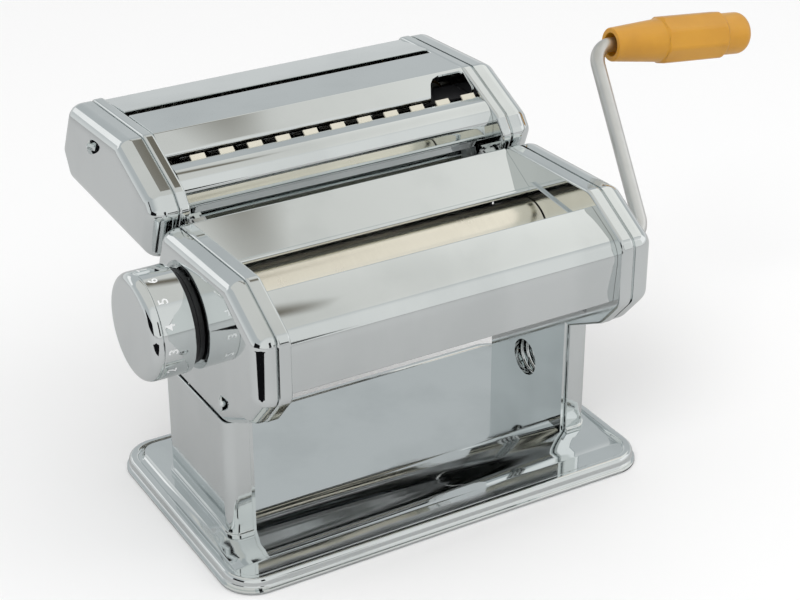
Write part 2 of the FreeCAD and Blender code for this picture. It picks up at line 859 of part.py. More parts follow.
def dial_knob():
    web_in = knob_in + web_setback
    web_out = web_in + web_depth
    outer = bar_x(adjuster_y, axis_z, knob_radius, knob_in, knob_out)
    skirt = bar_x(adjuster_y, axis_z, knob_radius - knob_wall, knob_in - 1, web_in)
    well = bar_x(adjuster_y, axis_z, well_radius, web_out, knob_out + 1)
    ring = bar_x(adjuster_y, axis_z, knob_radius - knob_wall, web_out, knob_out + 1).cut(
        bar_x(adjuster_y, axis_z, well_radius + well_wall, web_out - 1, knob_out + 2))
    knob = outer.cut(skirt).cut(well).cut(ring)
    knob = knob.cut(hex_x(adjuster_y, axis_z, shaft_flats + 2 * run_fit, web_in - 1, web_out + 1))
    y, z = index_place((index_holes - 1) / 2)
    return mirrored(knob.cut(bar_x(y, z, pin_radius + run_fit, web_in - 1, web_out + 1)))


def knob_cap():
    cap = bar_x(adjuster_y, axis_z, knob_radius, knob_out, knob_out + cap_depth)
    cap = cap.makeFillet(cap_round, edges_at_x(cap, knob_out + cap_depth))
    return mirrored(cap.cut(bar_x(adjuster_y, axis_z, well_radius, knob_out - 1, knob_out + cap_depth - knob_wall)))


def knob_pin():
    y, z = index_place((index_holes - 1) / 2)
    return mirrored(bar_x(y, z, pin_radius, index_face + knob_gap / 2, knob_in + web_setback + web_depth + 1))


def biarc(start, heading, stop, leaving):
    # Two tangent arcs from one place and heading to another
    chord = stop - start
    both = heading + leaving
    spread = 2 * (1 - heading.dot(leaving))
    across = chord.dot(both)
    reach = (math.sqrt(across ** 2 + spread * chord.dot(chord)) - across) / spread
    first = start + heading * reach
    last = stop - leaving * reach
    joint = (first + last) * 0.5
    edges = []
    for a, corner, b in ((start, first, joint), (joint, last, stop)):
        middle = (a + b) * 0.5
        half = a.distanceToPoint(b) / 2
        rise = corner.distanceToPoint(middle)
        turn = math.atan2(rise, half)
        apex = middle + (corner - middle).normalize() * (half * math.tan(turn / 2))
        edges.append(Part.Arc(a, apex, b).toShape())
    return edges


def knob_spring():
    # Open coil round the shaft's flats, between the knob's web and the washer
    start = knob_in + web_setback + web_depth + spring_wire / 2 + end_fit / 2
    rise = spring_length - spring_wire - end_fit
    steps = spring_turns * 4

    def place(k):
        angle = k * math.pi / 2
        return V(start + rise * k / steps, adjuster_y + spring_radius * math.cos(angle),
                 axis_z + spring_radius * math.sin(angle))

    def heading(k):
        angle = k * math.pi / 2
        return V(rise / steps / (math.pi / 2), -spring_radius * math.sin(angle),
                 spring_radius * math.cos(angle)).normalize()

    edges = []
    for k in range(steps):
        edges += biarc(place(k), heading(k), place(k + 1), heading(k + 1))
    section = Part.Wire(Part.makeCircle(spring_wire / 2, place(0), heading(0)))
    return mirrored(Part.Wire(edges).makePipeShell([section], True, False))


def knob_washer():
    stop = spring_stop()
    return mirrored(bar_x(adjuster_y, axis_z, washer_radius, stop, stop + washer_depth))


def knob_screw():
    start = spring_stop() + washer_depth
    return mirrored(bar_x(adjuster_y, axis_z, knob_screw_radius, start, start + knob_screw_depth))


# Crank, made upright over its axis and then laid back to its rest angle

def crank_frame():
    # Bend, direction of the arm and direction of the grip, in the plane of the crank
    lean = math.radians(crank_lean)
    arm = V(math.sin(lean), 0, math.cos(lean))
    out = V(math.cos(lean), 0, -math.sin(lean))
    elbow = V(hub_out + crank_neck, front_axis_y, axis_z)
    wrist = elbow + arm * crank_length
    return elbow, arm, wrist, out


def laid_back(shape):
    shape.rotate(V(0, front_axis_y, axis_z), V(1, 0, 0), -crank_rest)
    return shape


def rod_along(points, radius, bend):
    # Round rod through points, with tangent arcs at the bends
    edges = []
    start = points[0]
    for before, here, after in zip(points, points[1:], points[2:]):
        back = (before - here).normalize()
        on = (after - here).normalize()
        half = back.getAngle(on) / 2
        run = bend / math.tan(half)
        apex = here + (back + on).normalize() * (bend / math.sin(half) - bend)
        edges.append(Part.makeLine(start, here + back * run))
        edges.append(Part.Arc(here + back * run, apex, here + on * run).toShape())
        start = here + on * run
    edges.append(Part.makeLine(start, points[-1]))
    section = Part.Wire(Part.makeCircle(radius, points[0], points[1] - points[0]))
    return Part.Wire(edges).makePipeShell([section], True, False)


def crank_arm():
    elbow, arm, wrist, out = crank_frame()
    start = V(hub_out, front_axis_y, axis_z)
    end = wrist + out * (grip_standoff + pin_reach)
    rod = rod_along([start, elbow, wrist, end], crank_rod, crank_bend)
    shank = hex_x(front_axis_y, axis_z, crank_flats, hub_out - crank_shank, hub_out)
    collar = bar_x(front_axis_y, axis_z, crank_flats / math.sqrt(3), hub_out, hub_out + end_fit)
    return laid_back(fused([rod, shank, collar]))


def grip_outline():
    # Distance along the grip and radius: collar, body between two shoulders, stepped end
    body = grip_collar_length + grip_body_length
    return [(0, 0), (0, grip_collar), (grip_collar_length, grip_waist),
            (grip_collar_length + grip_shoulder, grip_radius), (body - grip_shoulder, grip_radius),
            (body, grip_end_radius), (grip_length, grip_end_radius), (grip_length, 0)]


def facet_bar(flats, sides, x0, x1):
    corner = flats / math.cos(math.pi / sides)
    ring = [V(x0, corner * math.cos(2 * math.pi * k / sides), corner * math.sin(2 * math.pi * k / sides))
            for k in range(sides + 1)]
    return Part.Face(Part.makePolygon(ring)).extrude(V(x1 - x0, 0, 0))


def crank_grip():
    elbow, arm, wrist, out = crank_frame()
    corners = [V(d, 0, r) for d, r in grip_outline()]
    wire = rounded_wire(corners, [0] * (len(corners) - 2) + [grip_end_round, 0])
    grip = Part.Face(wire).revolve(V(0, 0, 0), V(1, 0, 0), 360)
    # Long flats on the body, cut in between the shoulders
    start = grip_collar_length
    stop = grip_collar_length + grip_body_length
    sleeve = bar_x(0, 0, grip_radius + 1, start, stop)
    sleeve = sleeve.cut(facet_bar(grip_radius - grip_facet_cut, grip_facets, start - 1, stop + 1))
    grip = grip.cut(sleeve)
    grip = grip.cut(bar_x(0, 0, crank_rod + slide_fit, -1, pin_reach + slide_fit))
    grip = grip.cut(bar_x(0, 0, grip_recess, -1, grip_recess_depth))
    room = clip_depth + slide_fit
    grip = grip.cut(bar_x(0, 0, clip_radius + slide_fit, pin_reach - room, pin_reach + slide_fit))
    grip.rotate(V(0, 0, 0), V(0, 1, 0), crank_lean)
    grip.translate(wrist + out * grip_standoff)
    return laid_back(grip)


def grip_clip():
    # Ring on the pin's end, in a wider room inside the grip that keeps the grip on
    elbow, arm, wrist, out = crank_frame()
    end = grip_standoff + pin_reach
    ring = Part.makeCylinder(clip_radius, clip_depth, wrist + out * (end - clip_depth), out)
    bore = Part.makeCylinder(crank_rod, clip_depth * 3, wrist + out * (end - 2 * clip_depth), out)
    return laid_back(ring.cut(bore))


# Cutter attachment

def cutter_profile():
    low = (head_top - cutter_floor) / dock_up[1]
    top = (cutter_nose_z - 8 - head_top) / dock_up[1]
    return [(cutter_tail, cutter_tail_z), (cutter_ridge, cutter_ridge_z), (cutter_nose, cutter_nose_z),
            dock(top, cutter_gap), dock(-low, cutter_gap), (cutter_heel, cutter_heel_z),
            (cutter_back, cutter_back_z)]


def cutter_axes():
    half = cutter_centres / 2
    return [wide_nip_y - half, wide_nip_y + half, narrow_nip_y - half, narrow_nip_y + half]


def cutter_tie_places():
    return [(cutter_tie_y, cutter_tie_z), (cutter_tie_back, cutter_tie_z)]


def cutter_plate():
    profile = cutter_profile()
    pan = rimmed_pan(profile, cutter_corner, cutter_in, cutter_rim_out)
    room = yz_prism(moved_edges(profile, rim_sheet), cutter_corner - rim_sheet, cutter_plate_out,
                    cutter_rim_out + 1)
    plate = pan.cut(room)
    hole = cutter_journal + run_fit + cutter_bush_wall + run_fit
    for y in cutter_axes():
        plate = plate.cut(bar_x(y, cutter_axis_z, hole, cutter_in - 1, cutter_plate_out + 1))
    return plate


def cutter_cover(driven):
    cover = cover_shell(cutter_profile(), cutter_rim_out, cutter_cover_in, cutter_cover_out, cutter_corner)
    stud_y = cutter_stud_right if driven else cutter_stud_y
    cover = cover.cut(bar_x(stud_y, cutter_stud_z, screw_radius / 2 + run_fit, cutter_cover_in,
                            cutter_cover_out + 1))
    if driven:
        for y in cutter_axes()[1:3]:
            cover = cover.cut(bar_x(y, cutter_axis_z, cutter_journal + end_fit, cutter_cover_in,
                                    cutter_cover_out + 1))
    return cover


def cutter_studs():
    left = stud(cutter_stud_y, cutter_stud_z, cutter_plate_out, cutter_cover_face, True)
    return [mirrored(left), stud(cutter_stud_right, cutter_stud_z, cutter_plate_out, cutter_cover_face, True)]


def cutter_screws():
    left = cover_screw(cutter_stud_y, cutter_stud_z, cutter_cover_out)
    return [mirrored(left), cover_screw(cutter_stud_right, cutter_stud_z, cutter_cover_out)]


def cutter_bushes():
    bore = cutter_journal + run_fit
    bushes = []
    for y in cutter_axes():
        bush = flanged_bush(y, cutter_axis_z, bore, cutter_bush_wall, cutter_bush_flange, cutter_in,
                            cutter_plate_out)
        bushes += [bush, mirrored(bush)]
    return bushes


def cutting_roller(axis_y, pitch, rings, shifted, turn, driven):
    # Rings of half a pitch on a core: the mate's rings run in the gaps between them
    end = cutter_in - end_fit
    gear_start = cutter_plate_out + bush_flange_depth + slide_fit
    stop = cutter_cover_out if driven else gear_start + cutter_gear_width
    pieces = [bar_x(axis_y, cutter_axis_z, cutter_core, -end, end),
              bar_x(axis_y, cutter_axis_z, cutter_journal, -cutter_plate_out - bush_flange_depth, stop),
              gear_x(axis_y, cutter_axis_z, cutter_centres, cutter_teeth, cutter_addendum,
                     cutter_dedendum, cutter_backlash, turn, gear_start, gear_start + cutter_gear_width)]
    first = -pitch * (rings - 1) / 2 + (pitch / 4 if shifted else -pitch / 4)
    half = pitch / 4 - ring_fit / 2
    for k in range(rings):
        middle = first + pitch * k
        pieces.append(bar_x(axis_y, cutter_axis_z, cutter_radius, middle - half, middle + half))
    roller = fused(pieces)
    if driven:
        roller = roller.cut(hex_x(axis_y, cutter_axis_z, socket_flats, stop - socket_depth, stop + 1))
    return roller


def comb(axis_y, pitch, rings, shifted):
    # Bar below a roller with a tine in each gap between its rings
    bar_top = cutter_axis_z - cutter_radius - comb_fit
    tip = cutter_axis_z - cutter_core - comb_fit
    bar = box(-cutter_in, cutter_in, axis_y - comb_depth / 2, axis_y + comb_depth / 2, bar_top - comb_bar,
              bar_top)
    first = -pitch * (rings - 1) / 2 + (pitch / 4 if shifted else -pitch / 4) + pitch / 2
    half = pitch / 4 - ring_fit / 2 - comb_fit
    tines = [box(first + pitch * k - half, first + pitch * k + half, axis_y - comb_depth / 2,
                 axis_y + comb_depth / 2, bar_top, tip) for k in range(rings - 1)]
    return fused([bar] + tines)


def cutter_rear_tray():
    back = cutter_tail + 1.5
    edge = narrow_nip_y + slot_narrow / 2
    path = [(back, cutter_floor + 8), (back, tray_edge_z - 3), (tray_edge_y, tray_edge_z),
            (edge, centre_back_z)]
    return sheet_x(path, cutter_sheet, 0.8, -cutter_in, cutter_in)


def cutter_centre_plate():
    edge = narrow_nip_y - slot_narrow / 2
    front = wide_nip_y - 1.5
    path = [(edge, centre_back_z - 4), (edge, centre_back_z), (centre_ridge_y, centre_ridge_z),
            (front, centre_edge_z), (front + 1.5, centre_edge_z - 3)]
    return sheet_x(path, cutter_sheet, 0.8, -cutter_in, cutter_in)


def cutter_apron():
    # Round-nosed front edge of the wide slot, then a recessed panel down the front
    inner = wide_nip_y - 1.5 - slot_wide
    path = [(inner, apron_top_z - 0.3), (apron_front + 5, apron_top_z), (apron_front, apron_top_z - 6),
            (apron_front, apron_bend_z), (apron_front + apron_step, apron_bend_z - 2 * apron_step),
            (apron_front + apron_step, apron_jog_z), (apron_front + apron_jog, apron_jog_z - 2 * apron_jog),
            (apron_front + apron_jog, apron_foot_z)]
    return sheet_x(path, cutter_sheet, 1.2, -cutter_in, cutter_in)


def cutter_ties():
    return [bar_x(y, z, cutter_tie_radius, -cutter_in, cutter_in) for y, z in cutter_tie_places()]


def cutter_hooks():
    # Bars that drop into the sockets, on webs from plates against the cutter's sides
    low = hook_top - hook_length
    start = -socket_setback + socket_wall + hook_fit

    def bar(x0, x1, out0, out1, along0, along1):
        corners = [dock(along0, out0), dock(along0, out1), dock(along1, out1), dock(along1, out0)]
        return yz_prism(corners, 0, x0, x1)

    grip = bar(hook_x - hook_width / 2, hook_x + hook_width / 2, start, start + hook_depth, low, hook_top)
    inner = socket_back() + hook_fit
    web = bar(hook_x - hook_web / 2, hook_x + hook_web / 2, start, inner + hook_sheet, low, hook_top)
    plate = bar(hook_x - hook_width / 2, cutter_in, inner, inner + hook_sheet, low, hook_top)
    hook = fused([grip, web, plate])
    return [hook, mirrored(hook)]


# The nodes

def nodes():
    wide_front, wide_rear, narrow_front, narrow_rear = cutter_axes()
    low_rod = carriage_rod_places()[0]
    blade_length = 2 * (plate_in - blade_end)
    right_plate = side_plate(True)
    left_plate = mirrored(side_plate(False))
    block_right = bearing_block(False)
    block_left = mirrored(bearing_block(True))
    return {
        "base_plate": [base_plate()],
        "leg_left": [mirrored(leg(False))],
        "leg_right": [leg(True)],
        "leg_screws": leg_screws(),
        "side_plate_left": [left_plate],
        "side_plate_right": [right_plate],
        "cover_left": [cover_left()],
        "cover_right": [cover_right()],
        "cover_studs": cover_studs(),
        "cover_screws": cover_screws(),
        "front_panel": [front_panel()],
        "feed_tray": [feed_tray()],
        "feed_guides": feed_guides(),
        "rear_panel": [rear_panel()],
        "tie_rods": tie_rods(),
        "tie_screws": tie_screws(),
        "front_scraper": [scraper(tie_low_y, tie_low_z, tie_radius, front_axis_y, blade_length)],
        "accessory_sockets": accessory_sockets(),
        "front_roller": [front_roller()],
        "front_bushes": front_bushes(),
        "front_gear": [roller_gear(front_axis_y, 0.0)],
        "rear_roller": [rear_roller()],
        "rear_gear": [roller_gear(rear_axis_y, 0.0 if gear_teeth % 2 else 0.5)],
        "bearing_block_left": [block_left],
        "bearing_block_right": [block_right],
        "rear_bushes": rear_bushes(),
        "carriage_rods": carriage_rods(),
        "rear_scraper": [scraper(low_rod[0], low_rod[1], carriage_rod_radius, rear_axis_y, blade_length)],
        "adjuster_shaft": [adjuster_shaft()],
        "adjuster_bush": [adjuster_bush()],
        "index_plate": [index_plate()],
        "dial_knob": [dial_knob()],
        "knob_cap": [knob_cap()],
        "knob_pin": [knob_pin()],
        "knob_spring": [knob_spring()],
        "knob_washer": [knob_washer()],
        "knob_screw": [knob_screw()],
        "crank_arm": [crank_arm()],
        "crank_grip": [crank_grip()],
        "grip_clip": [grip_clip()],
        "cutter_plate_left": [mirrored(cutter_plate())],
        "cutter_plate_right": [cutter_plate()],
        "cutter_cover_left": [mirrored(cutter_cover(False))],
        "cutter_cover_right": [cutter_cover(True)],
        "cutter_studs": cutter_studs(),
        "cutter_screws": cutter_screws(),
        "cutter_bushes": cutter_bushes(),
        "cutter_rear_tray": [cutter_rear_tray()],
        "cutter_centre_plate": [cutter_centre_plate()],
        "cutter_apron": [cutter_apron()],
        "cutter_ties": cutter_ties(),
        "cutter_hooks": cutter_hooks(),
        "wide_cutter_front": [cutting_roller(wide_front, wide_pitch, wide_rings, False, 0.0, False)],
        "wide_cutter_rear": [cutting_roller(wide_rear, wide_pitch, wide_rings, True, 0.5, True)],
        "wide_combs": [comb(wide_front, wide_pitch, wide_rings, False),
                       comb(wide_rear, wide_pitch, wide_rings, True)],
        "narrow_cutter_front": [cutting_roller(narrow_front, narrow_pitch, narrow_rings, False, 0.0, True)],
        "narrow_cutter_rear": [cutting_roller(narrow_rear, narrow_pitch, narrow_rings, True, 0.5, False)],
        "narrow_combs": [comb(narrow_front, narrow_pitch, narrow_rings, False),
                         comb(narrow_rear, narrow_pitch, narrow_rings, True)],
    }


def main():
    os.makedirs("parts", exist_ok=True)
    for name, solids in nodes().items():
        shapes = [s if s.ShapeType == "Solid" else s.Solids[0] for s in solids]
        for shape in shapes:
            if not shape.isValid() or shape.Volume <= 0:
                print("check", name, shape.ShapeType, round(shape.Volume, 3), shape.isValid())
        whole = shapes[0] if len(shapes) == 1 else Part.makeCompound(shapes)
        whole.exportStep("parts/" + name + ".step")
        print(name, len(shapes), round(whole.Volume, 1))


main()
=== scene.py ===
import json
import math

import bmesh
import bpy
from mathutils import Matrix, Vector

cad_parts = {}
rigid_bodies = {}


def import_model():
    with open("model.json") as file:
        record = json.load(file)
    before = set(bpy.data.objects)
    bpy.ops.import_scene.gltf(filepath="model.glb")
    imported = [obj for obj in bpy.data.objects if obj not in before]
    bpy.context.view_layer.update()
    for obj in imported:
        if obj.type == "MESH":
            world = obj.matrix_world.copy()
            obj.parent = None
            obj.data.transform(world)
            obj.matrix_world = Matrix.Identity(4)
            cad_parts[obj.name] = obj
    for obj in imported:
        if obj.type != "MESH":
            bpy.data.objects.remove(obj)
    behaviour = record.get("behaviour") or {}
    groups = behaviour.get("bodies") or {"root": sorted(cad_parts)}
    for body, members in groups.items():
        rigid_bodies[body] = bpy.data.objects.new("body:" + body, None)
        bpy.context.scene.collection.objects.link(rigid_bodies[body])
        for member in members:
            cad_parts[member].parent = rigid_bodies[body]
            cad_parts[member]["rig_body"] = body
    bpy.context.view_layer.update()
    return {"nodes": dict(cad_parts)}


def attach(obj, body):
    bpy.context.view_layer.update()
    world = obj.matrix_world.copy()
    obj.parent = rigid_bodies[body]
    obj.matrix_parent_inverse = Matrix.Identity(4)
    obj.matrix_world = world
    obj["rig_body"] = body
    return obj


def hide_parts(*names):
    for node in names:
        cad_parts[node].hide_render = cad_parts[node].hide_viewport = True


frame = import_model()
nodes = frame["nodes"]
scene = bpy.context.scene
mm = 0.001
print("frame loaded:", len(nodes), "pieces")


# sockets and nodes

class Sock:
    # one output socket that can be used in sums
    def __init__(self, graph, socket):
        self.graph, self.socket = graph, socket

    def math(self, operation, other, flipped=False):
        first, second = (other, self) if flipped else (self, other)
        return self.graph.add("ShaderNodeMath", {"operation": operation}, {0: first, 1: second})

    def __add__(self, other):
        return self.math("ADD", other)

    def __radd__(self, other):
        return self.math("ADD", other, True)

    def __sub__(self, other):
        return self.math("SUBTRACT", other)

    def __rsub__(self, other):
        return self.math("SUBTRACT", other, True)

    def __mul__(self, other):
        return self.math("MULTIPLY", other)


class Graph:
    def __init__(self, tree):
        self.tree = tree
        tree.nodes.clear()

    def put(self, target, value):
        if isinstance(value, Sock):
            self.tree.links.new(value.socket, target)
        else:
            target.default_value = value

    def node(self, kind, settings=None, inputs=None):
        made = self.tree.nodes.new(kind)
        for key, value in (settings or {}).items():
            setattr(made, key, value)
        for key, value in (inputs or {}).items():
            self.put(made.inputs[key], value)
        return made

    def add(self, kind, settings=None, inputs=None, output=0):
        return Sock(self, self.node(kind, settings, inputs).outputs[output])

    def place(self, stretch=(1, 1, 1)):
        spot = self.add("ShaderNodeTexCoord", output="Object")
        return self.add("ShaderNodeVectorMath", {"operation": "MULTIPLY"}, {0: spot, 1: stretch})

    def noise(self, scale, detail, stretch=(1, 1, 1)):
        return self.add("ShaderNodeTexNoise", None,
                        {"Vector": self.place(stretch), "Scale": scale, "Detail": detail}, "Fac")

    def ramp(self, value, low, high):
        return self.add("ShaderNodeMapRange", {"interpolation_type": "SMOOTHSTEP"},
                        {"Value": value, "From Min": low, "From Max": high})

    def tint(self, factor, first, second):
        mix = self.node("ShaderNodeMix", {"data_type": "RGBA"}, {0: factor})
        for socket, colour in ((mix.inputs[6], first), (mix.inputs[7], second)):
            self.put(socket, colour if isinstance(colour, Sock) else (*colour, 1.0))
        return Sock(self, mix.outputs[2])

    def bump(self, height, distance):
        return self.add("ShaderNodeBump", None, {"Height": height, "Distance": distance, "Strength": 1.0})

    def glow(self, colour, kind="ShaderNodeEmission"):
        return self.add(kind, None, {"Color": colour, "Strength": 1.0})

    def circle(self, around, radius):
        return self.add("GeometryNodeCurvePrimitiveCircle", None, {"Resolution": around, "Radius": radius})


def newMaterial(name, build):
    material = bpy.data.materials.new(name)
    material.use_nodes = True
    g = Graph(material.node_tree)
    g.node("ShaderNodeOutputMaterial", None, {"Surface": build(g)})
    return material


def finishMaterial(name, fixed, build):
    return newMaterial(name, lambda g: g.add("ShaderNodeBsdfPrincipled", None, {**fixed, **build(g)}))


# finishes

chromeLook = {"bright": (0.785, 0.815, 0.815), "dim": (0.73, 0.76, 0.76), "gloss": 0.024, "smear": 0.05}


def chromeNodes(g):
    smear = g.ramp(g.noise(26, 4, (1, 1, 0.6)), 0.42, 0.68)
    wipe = g.noise(420, 3, (0.06, 1, 1))  # faint wiping marks along the width
    wave = g.noise(13, 1)                 # pressed sheet is never quite flat
    return {"Base Color": g.tint(smear, chromeLook["bright"], chromeLook["dim"]),
            "Roughness": chromeLook["gloss"] + smear * chromeLook["smear"] + wipe * 0.02,
            "Normal": g.bump(wave, 0.00035)}


rollerLook = {"bright": (0.95, 0.905, 0.79), "dim": (0.85, 0.80, 0.685)}


def rollerNodes(g):
    lines = g.noise(1.0, 2, (2600, 30, 30))  # grinding lines run round the roller
    flour = g.ramp(g.noise(60, 4), 0.45, 0.75)
    return {"Base Color": g.tint(lines * 0.5 + flour * 0.3, rollerLook["bright"], rollerLook["dim"]),
            "Roughness": 0.17 + lines * 0.09 + flour * 0.07, "Normal": g.bump(lines, 6e-6)}


cutterLook = {"bright": (0.95, 0.92, 0.83), "dim": (0.80, 0.765, 0.67)}


def cutterNodes(g):
    lines = g.noise(1.0, 2, (3400, 40, 40))
    grime = g.ramp(g.noise(140, 3), 0.5, 0.8)
    return {"Base Color": g.tint(grime * 0.7, cutterLook["bright"], cutterLook["dim"]),
            "Roughness": 0.22 + lines * 0.10 + grime * 0.1, "Normal": g.bump(lines, 5e-6)}


innerLook = {"bright": (0.60, 0.61, 0.62), "dim": (0.42, 0.42, 0.42)}


def innerNodes(g):
    spangle = g.add("ShaderNodeTexVoronoi", None, {"Vector": g.place(), "Scale": 320.0}, "Distance")
    dull = g.ramp(g.noise(45, 4), 0.35, 0.75)
    return {"Base Color": g.tint(dull, innerLook["bright"], innerLook["dim"]),
            "Roughness": 0.30 + dull * 0.12 + spangle * 0.10, "Normal": g.bump(spangle, 1e-5)}


crankLook = {"bright": (0.74, 0.74, 0.72), "dim": (0.62, 0.615, 0.59)}


def crankNodes(g):
    satin = g.noise(1500, 2)
    handled = g.ramp(g.noise(55, 4), 0.4, 0.72)
    return {"Base Color": g.tint(handled, crankLook["bright"], crankLook["dim"]),
            "Roughness": 0.27 + satin * 0.08 + handled * 0.06, "Normal": g.bump(satin, 6e-6)}


bushLook = {"bright": (0.70, 0.50, 0.24), "dim": (0.55, 0.37, 0.16)}


def bushNodes(g):
    turned = g.noise(1.0, 2, (2200, 60, 60))
    return {"Base Color": g.tint(turned, bushLook["bright"], bushLook["dim"]),
            "Roughness": 0.26 + turned * 0.14, "Normal": g.bump(turned, 6e-6)}


gripLook = {"bright": (0.60, 0.285, 0.016), "dim": (0.48, 0.215, 0.010)}


def gripNodes(g):
    cloud = g.ramp(g.noise(48, 3), 0.35, 0.7)
    grain = g.noise(2600, 2)   # fine mould texture
    scuff = g.ramp(g.noise(300, 4, (0.2, 1, 1)), 0.60, 0.82)
    return {"Base Color": g.tint(cloud * 0.6 + scuff * 0.2, gripLook["bright"], gripLook["dim"]),
            "Roughness": 0.33 + scuff * 0.14 + cloud * 0.05, "Coat Weight": 0.22 - scuff * 0.15,
            "Normal": g.bump(grain, 1.2e-5)}


combLook = {"bright": (0.68, 0.65, 0.55), "dim": (0.58, 0.55, 0.45)}


def combNodes(g):
    cloud = g.noise(90, 3)
    return {"Base Color": g.tint(cloud, combLook["bright"], combLook["dim"]),
            "Roughness": 0.42 + cloud * 0.1, "Normal": g.bump(g.noise(1800, 2), 1e-5)}


darkLook = {"black": (0.010, 0.010, 0.011), "grey": (0.022, 0.022, 0.024)}


def darkNodes(g):
    cloud = g.noise(160, 3)
    return {"Base Color": g.tint(cloud, darkLook["black"], darkLook["grey"]),
            "Roughness": 0.36 + cloud * 0.16, "Normal": g.bump(g.noise(2200, 2), 1.2e-5)}


figureLook = {"bright": (0.86, 0.87, 0.87), "dim": (0.55, 0.56, 0.57)}


def figureNodes(g):
    worn = g.ramp(g.noise(900, 3), 0.55, 0.8)
    return {"Base Color": g.tint(worn * 0.5, figureLook["bright"], figureLook["dim"]),
            "Roughness": 0.34 + worn * 0.2}


# painted shade: a dark finish for the cutter rings, standing in for the shade inside their slots
cutterShadeLook = {"bright": (0.20, 0.19, 0.17), "dim": (0.10, 0.095, 0.085)}


def cutterShadeNodes(g):
    lines = g.noise(1.0, 2, (3400, 40, 40))
    shadePatches = g.ramp(g.noise(140, 3), 0.3, 0.7)
    return {"Base Color": g.tint(shadePatches, cutterShadeLook["bright"], cutterShadeLook["dim"]),
            "Roughness": 0.26 + lines * 0.10 + shadePatches * 0.08, "Normal": g.bump(lines, 5e-6)}


metal = {"Metallic": 1.0}
finishes = {
    "chrome": finishMaterial("polishedChrome", metal, chromeNodes),
    "roller_steel": finishMaterial("groundRoller", metal, rollerNodes),
    "cutter_steel": finishMaterial("turnedCutter", metal, cutterNodes),
    "inner_steel": finishMaterial("zincInside", metal, innerNodes),
    "crank_steel": finishMaterial("satinCrank", metal, crankNodes),
    "bush": finishMaterial("turnedBronze", metal, bushNodes),
    "grip_plastic": finishMaterial("honeyGrip", {"Coat Roughness": 0.18, "Subsurface Weight": 0.06,
                                                 "Subsurface Radius": (0.004, 0.002, 0.0006),
                                                 "Subsurface Scale": 1.0}, gripNodes),
    "comb_plastic": finishMaterial("combPlastic", {}, combNodes),
    "dark_plastic": finishMaterial("blackRing", {}, darkNodes),
}
# cutter rings with painted shade
oiledCutter = finishMaterial("oiledCutter", metal, cutterShadeNodes)
figurePaint = finishMaterial("figurePaint", {"Metallic": 0.0}, figureNodes)
slotOf = {}
for name, piece in nodes.items():
    slotOf[name] = piece.data.materials[0].name.split(".")[0]
    piece.data.materials[0] = finishes[slotOf[name]]
shadeCutters = ("narrow_cutter_front", "narrow_cutter_rear", "wide_cutter_front", "wide_cutter_rear")
for name in shadeCutters:
    nodes[name].data.materials[0] = oiledCutter  # painted shade: the rings are coloured dark for the shade they sit in down in their slots
print("finishes:", sorted(set(slotOf.values())))


# piece helpers

bodyOf = {name: piece["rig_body"] for name, piece in nodes.items()}
meshing = {"near": 2e-6, "flat": 0.4, "sharp": 38, "sheetSharp": 40, "faceWeight": 60}


def link(name, mesh):
    piece = bpy.data.objects.new(name, mesh)
    scene.collection.objects.link(piece)
    return piece


def camel(name):
    words = name.split("_")
    return words[0] + "".join(w.capitalize() for w in words[1:])


def shownMesh(piece):
    bpy.context.view_layer.update()
    shown = piece.evaluated_get(bpy.context.evaluated_depsgraph_get())
    return bpy.data.meshes.new_from_object(shown)


def plainMesh(piece):
    # what the modifiers give, kept as a plain mesh
    mesh = shownMesh(piece)
    piece.modifiers.clear()
    old, piece.data = piece.data, mesh
    bpy.data.meshes.remove(old)
    return piece


def settle(piece, body, slot, material=None, stands=()):
    piece.data.materials.clear()
    piece.data.materials.append(material or finishes[slot])
    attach(piece, body)
    for name in stands:
        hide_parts(name)
    return piece


def standsFor(piece, name):
    # the piece takes the place, body and finish of one CAD node
    return settle(piece, bodyOf[name], slotOf[name], oiledCutter if name in shadeCutters else None, [name])


def copiedMesh(name):
    mesh = nodes[name].data.copy()
    if "custom_normal" in mesh.attributes:
        mesh.attributes.remove(mesh.attributes["custom_normal"])
    return mesh


def merged(mesh):
    # the mesh with its doubled points merged, ready to be worked on
    work = bmesh.new()
    work.from_mesh(mesh)
    bmesh.ops.remove_doubles(work, verts=work.verts, dist=meshing["near"])
    return work


def flattened(work):
    # flat areas without their inner edges
    bmesh.ops.dissolve_limit(work, angle_limit=math.radians(meshing["flat"]),
                             verts=work.verts, edges=work.edges)
    return work


def written(work, mesh, smooth=True):
    for face in work.faces:
        face.smooth = smooth
    work.to_mesh(mesh)
    work.free()
    return mesh


def smoothed(mesh):
    for face in mesh.polygons:
        face.use_smooth = True
    return mesh


def sharpened(mesh, angle):
    mesh.set_sharp_from_angle(angle=math.radians(angle))
    return mesh


def bevelled(piece, width, segments, method):
    bevel = piece.modifiers.new("ease", "BEVEL")
    bevel.width, bevel.segments, bevel.limit_method = width * mm, segments, method
    return bevel


def weightedShade(piece):
    weighted = piece.modifiers.new("shade", "WEIGHTED_NORMAL")
    weighted.keep_sharp, weighted.weight = True, meshing["faceWeight"]


def cutWith(piece, tool):
    cut = piece.modifiers.new("cut", "BOOLEAN")
    cut.operation, cut.solver, cut.object = "DIFFERENCE", "EXACT", tool
    return cut


def drawnOut(name, section, ends, at):
    # closed section drawn out between two ends
    work = bmesh.new()
    first, last = [[work.verts.new(Vector(at(end, q)) * mm) for q in section] for end in ends]
    count = len(section)
    for k in range(count):
        work.faces.new((first[k], first[(k + 1) % count], last[(k + 1) % count], last[k]))
    work.faces.new(first)
    work.faces.new(last[::-1])
    bmesh.ops.recalc_face_normals(work, faces=work.faces)
    return link(name, written(work, bpy.data.meshes.new(name), False))


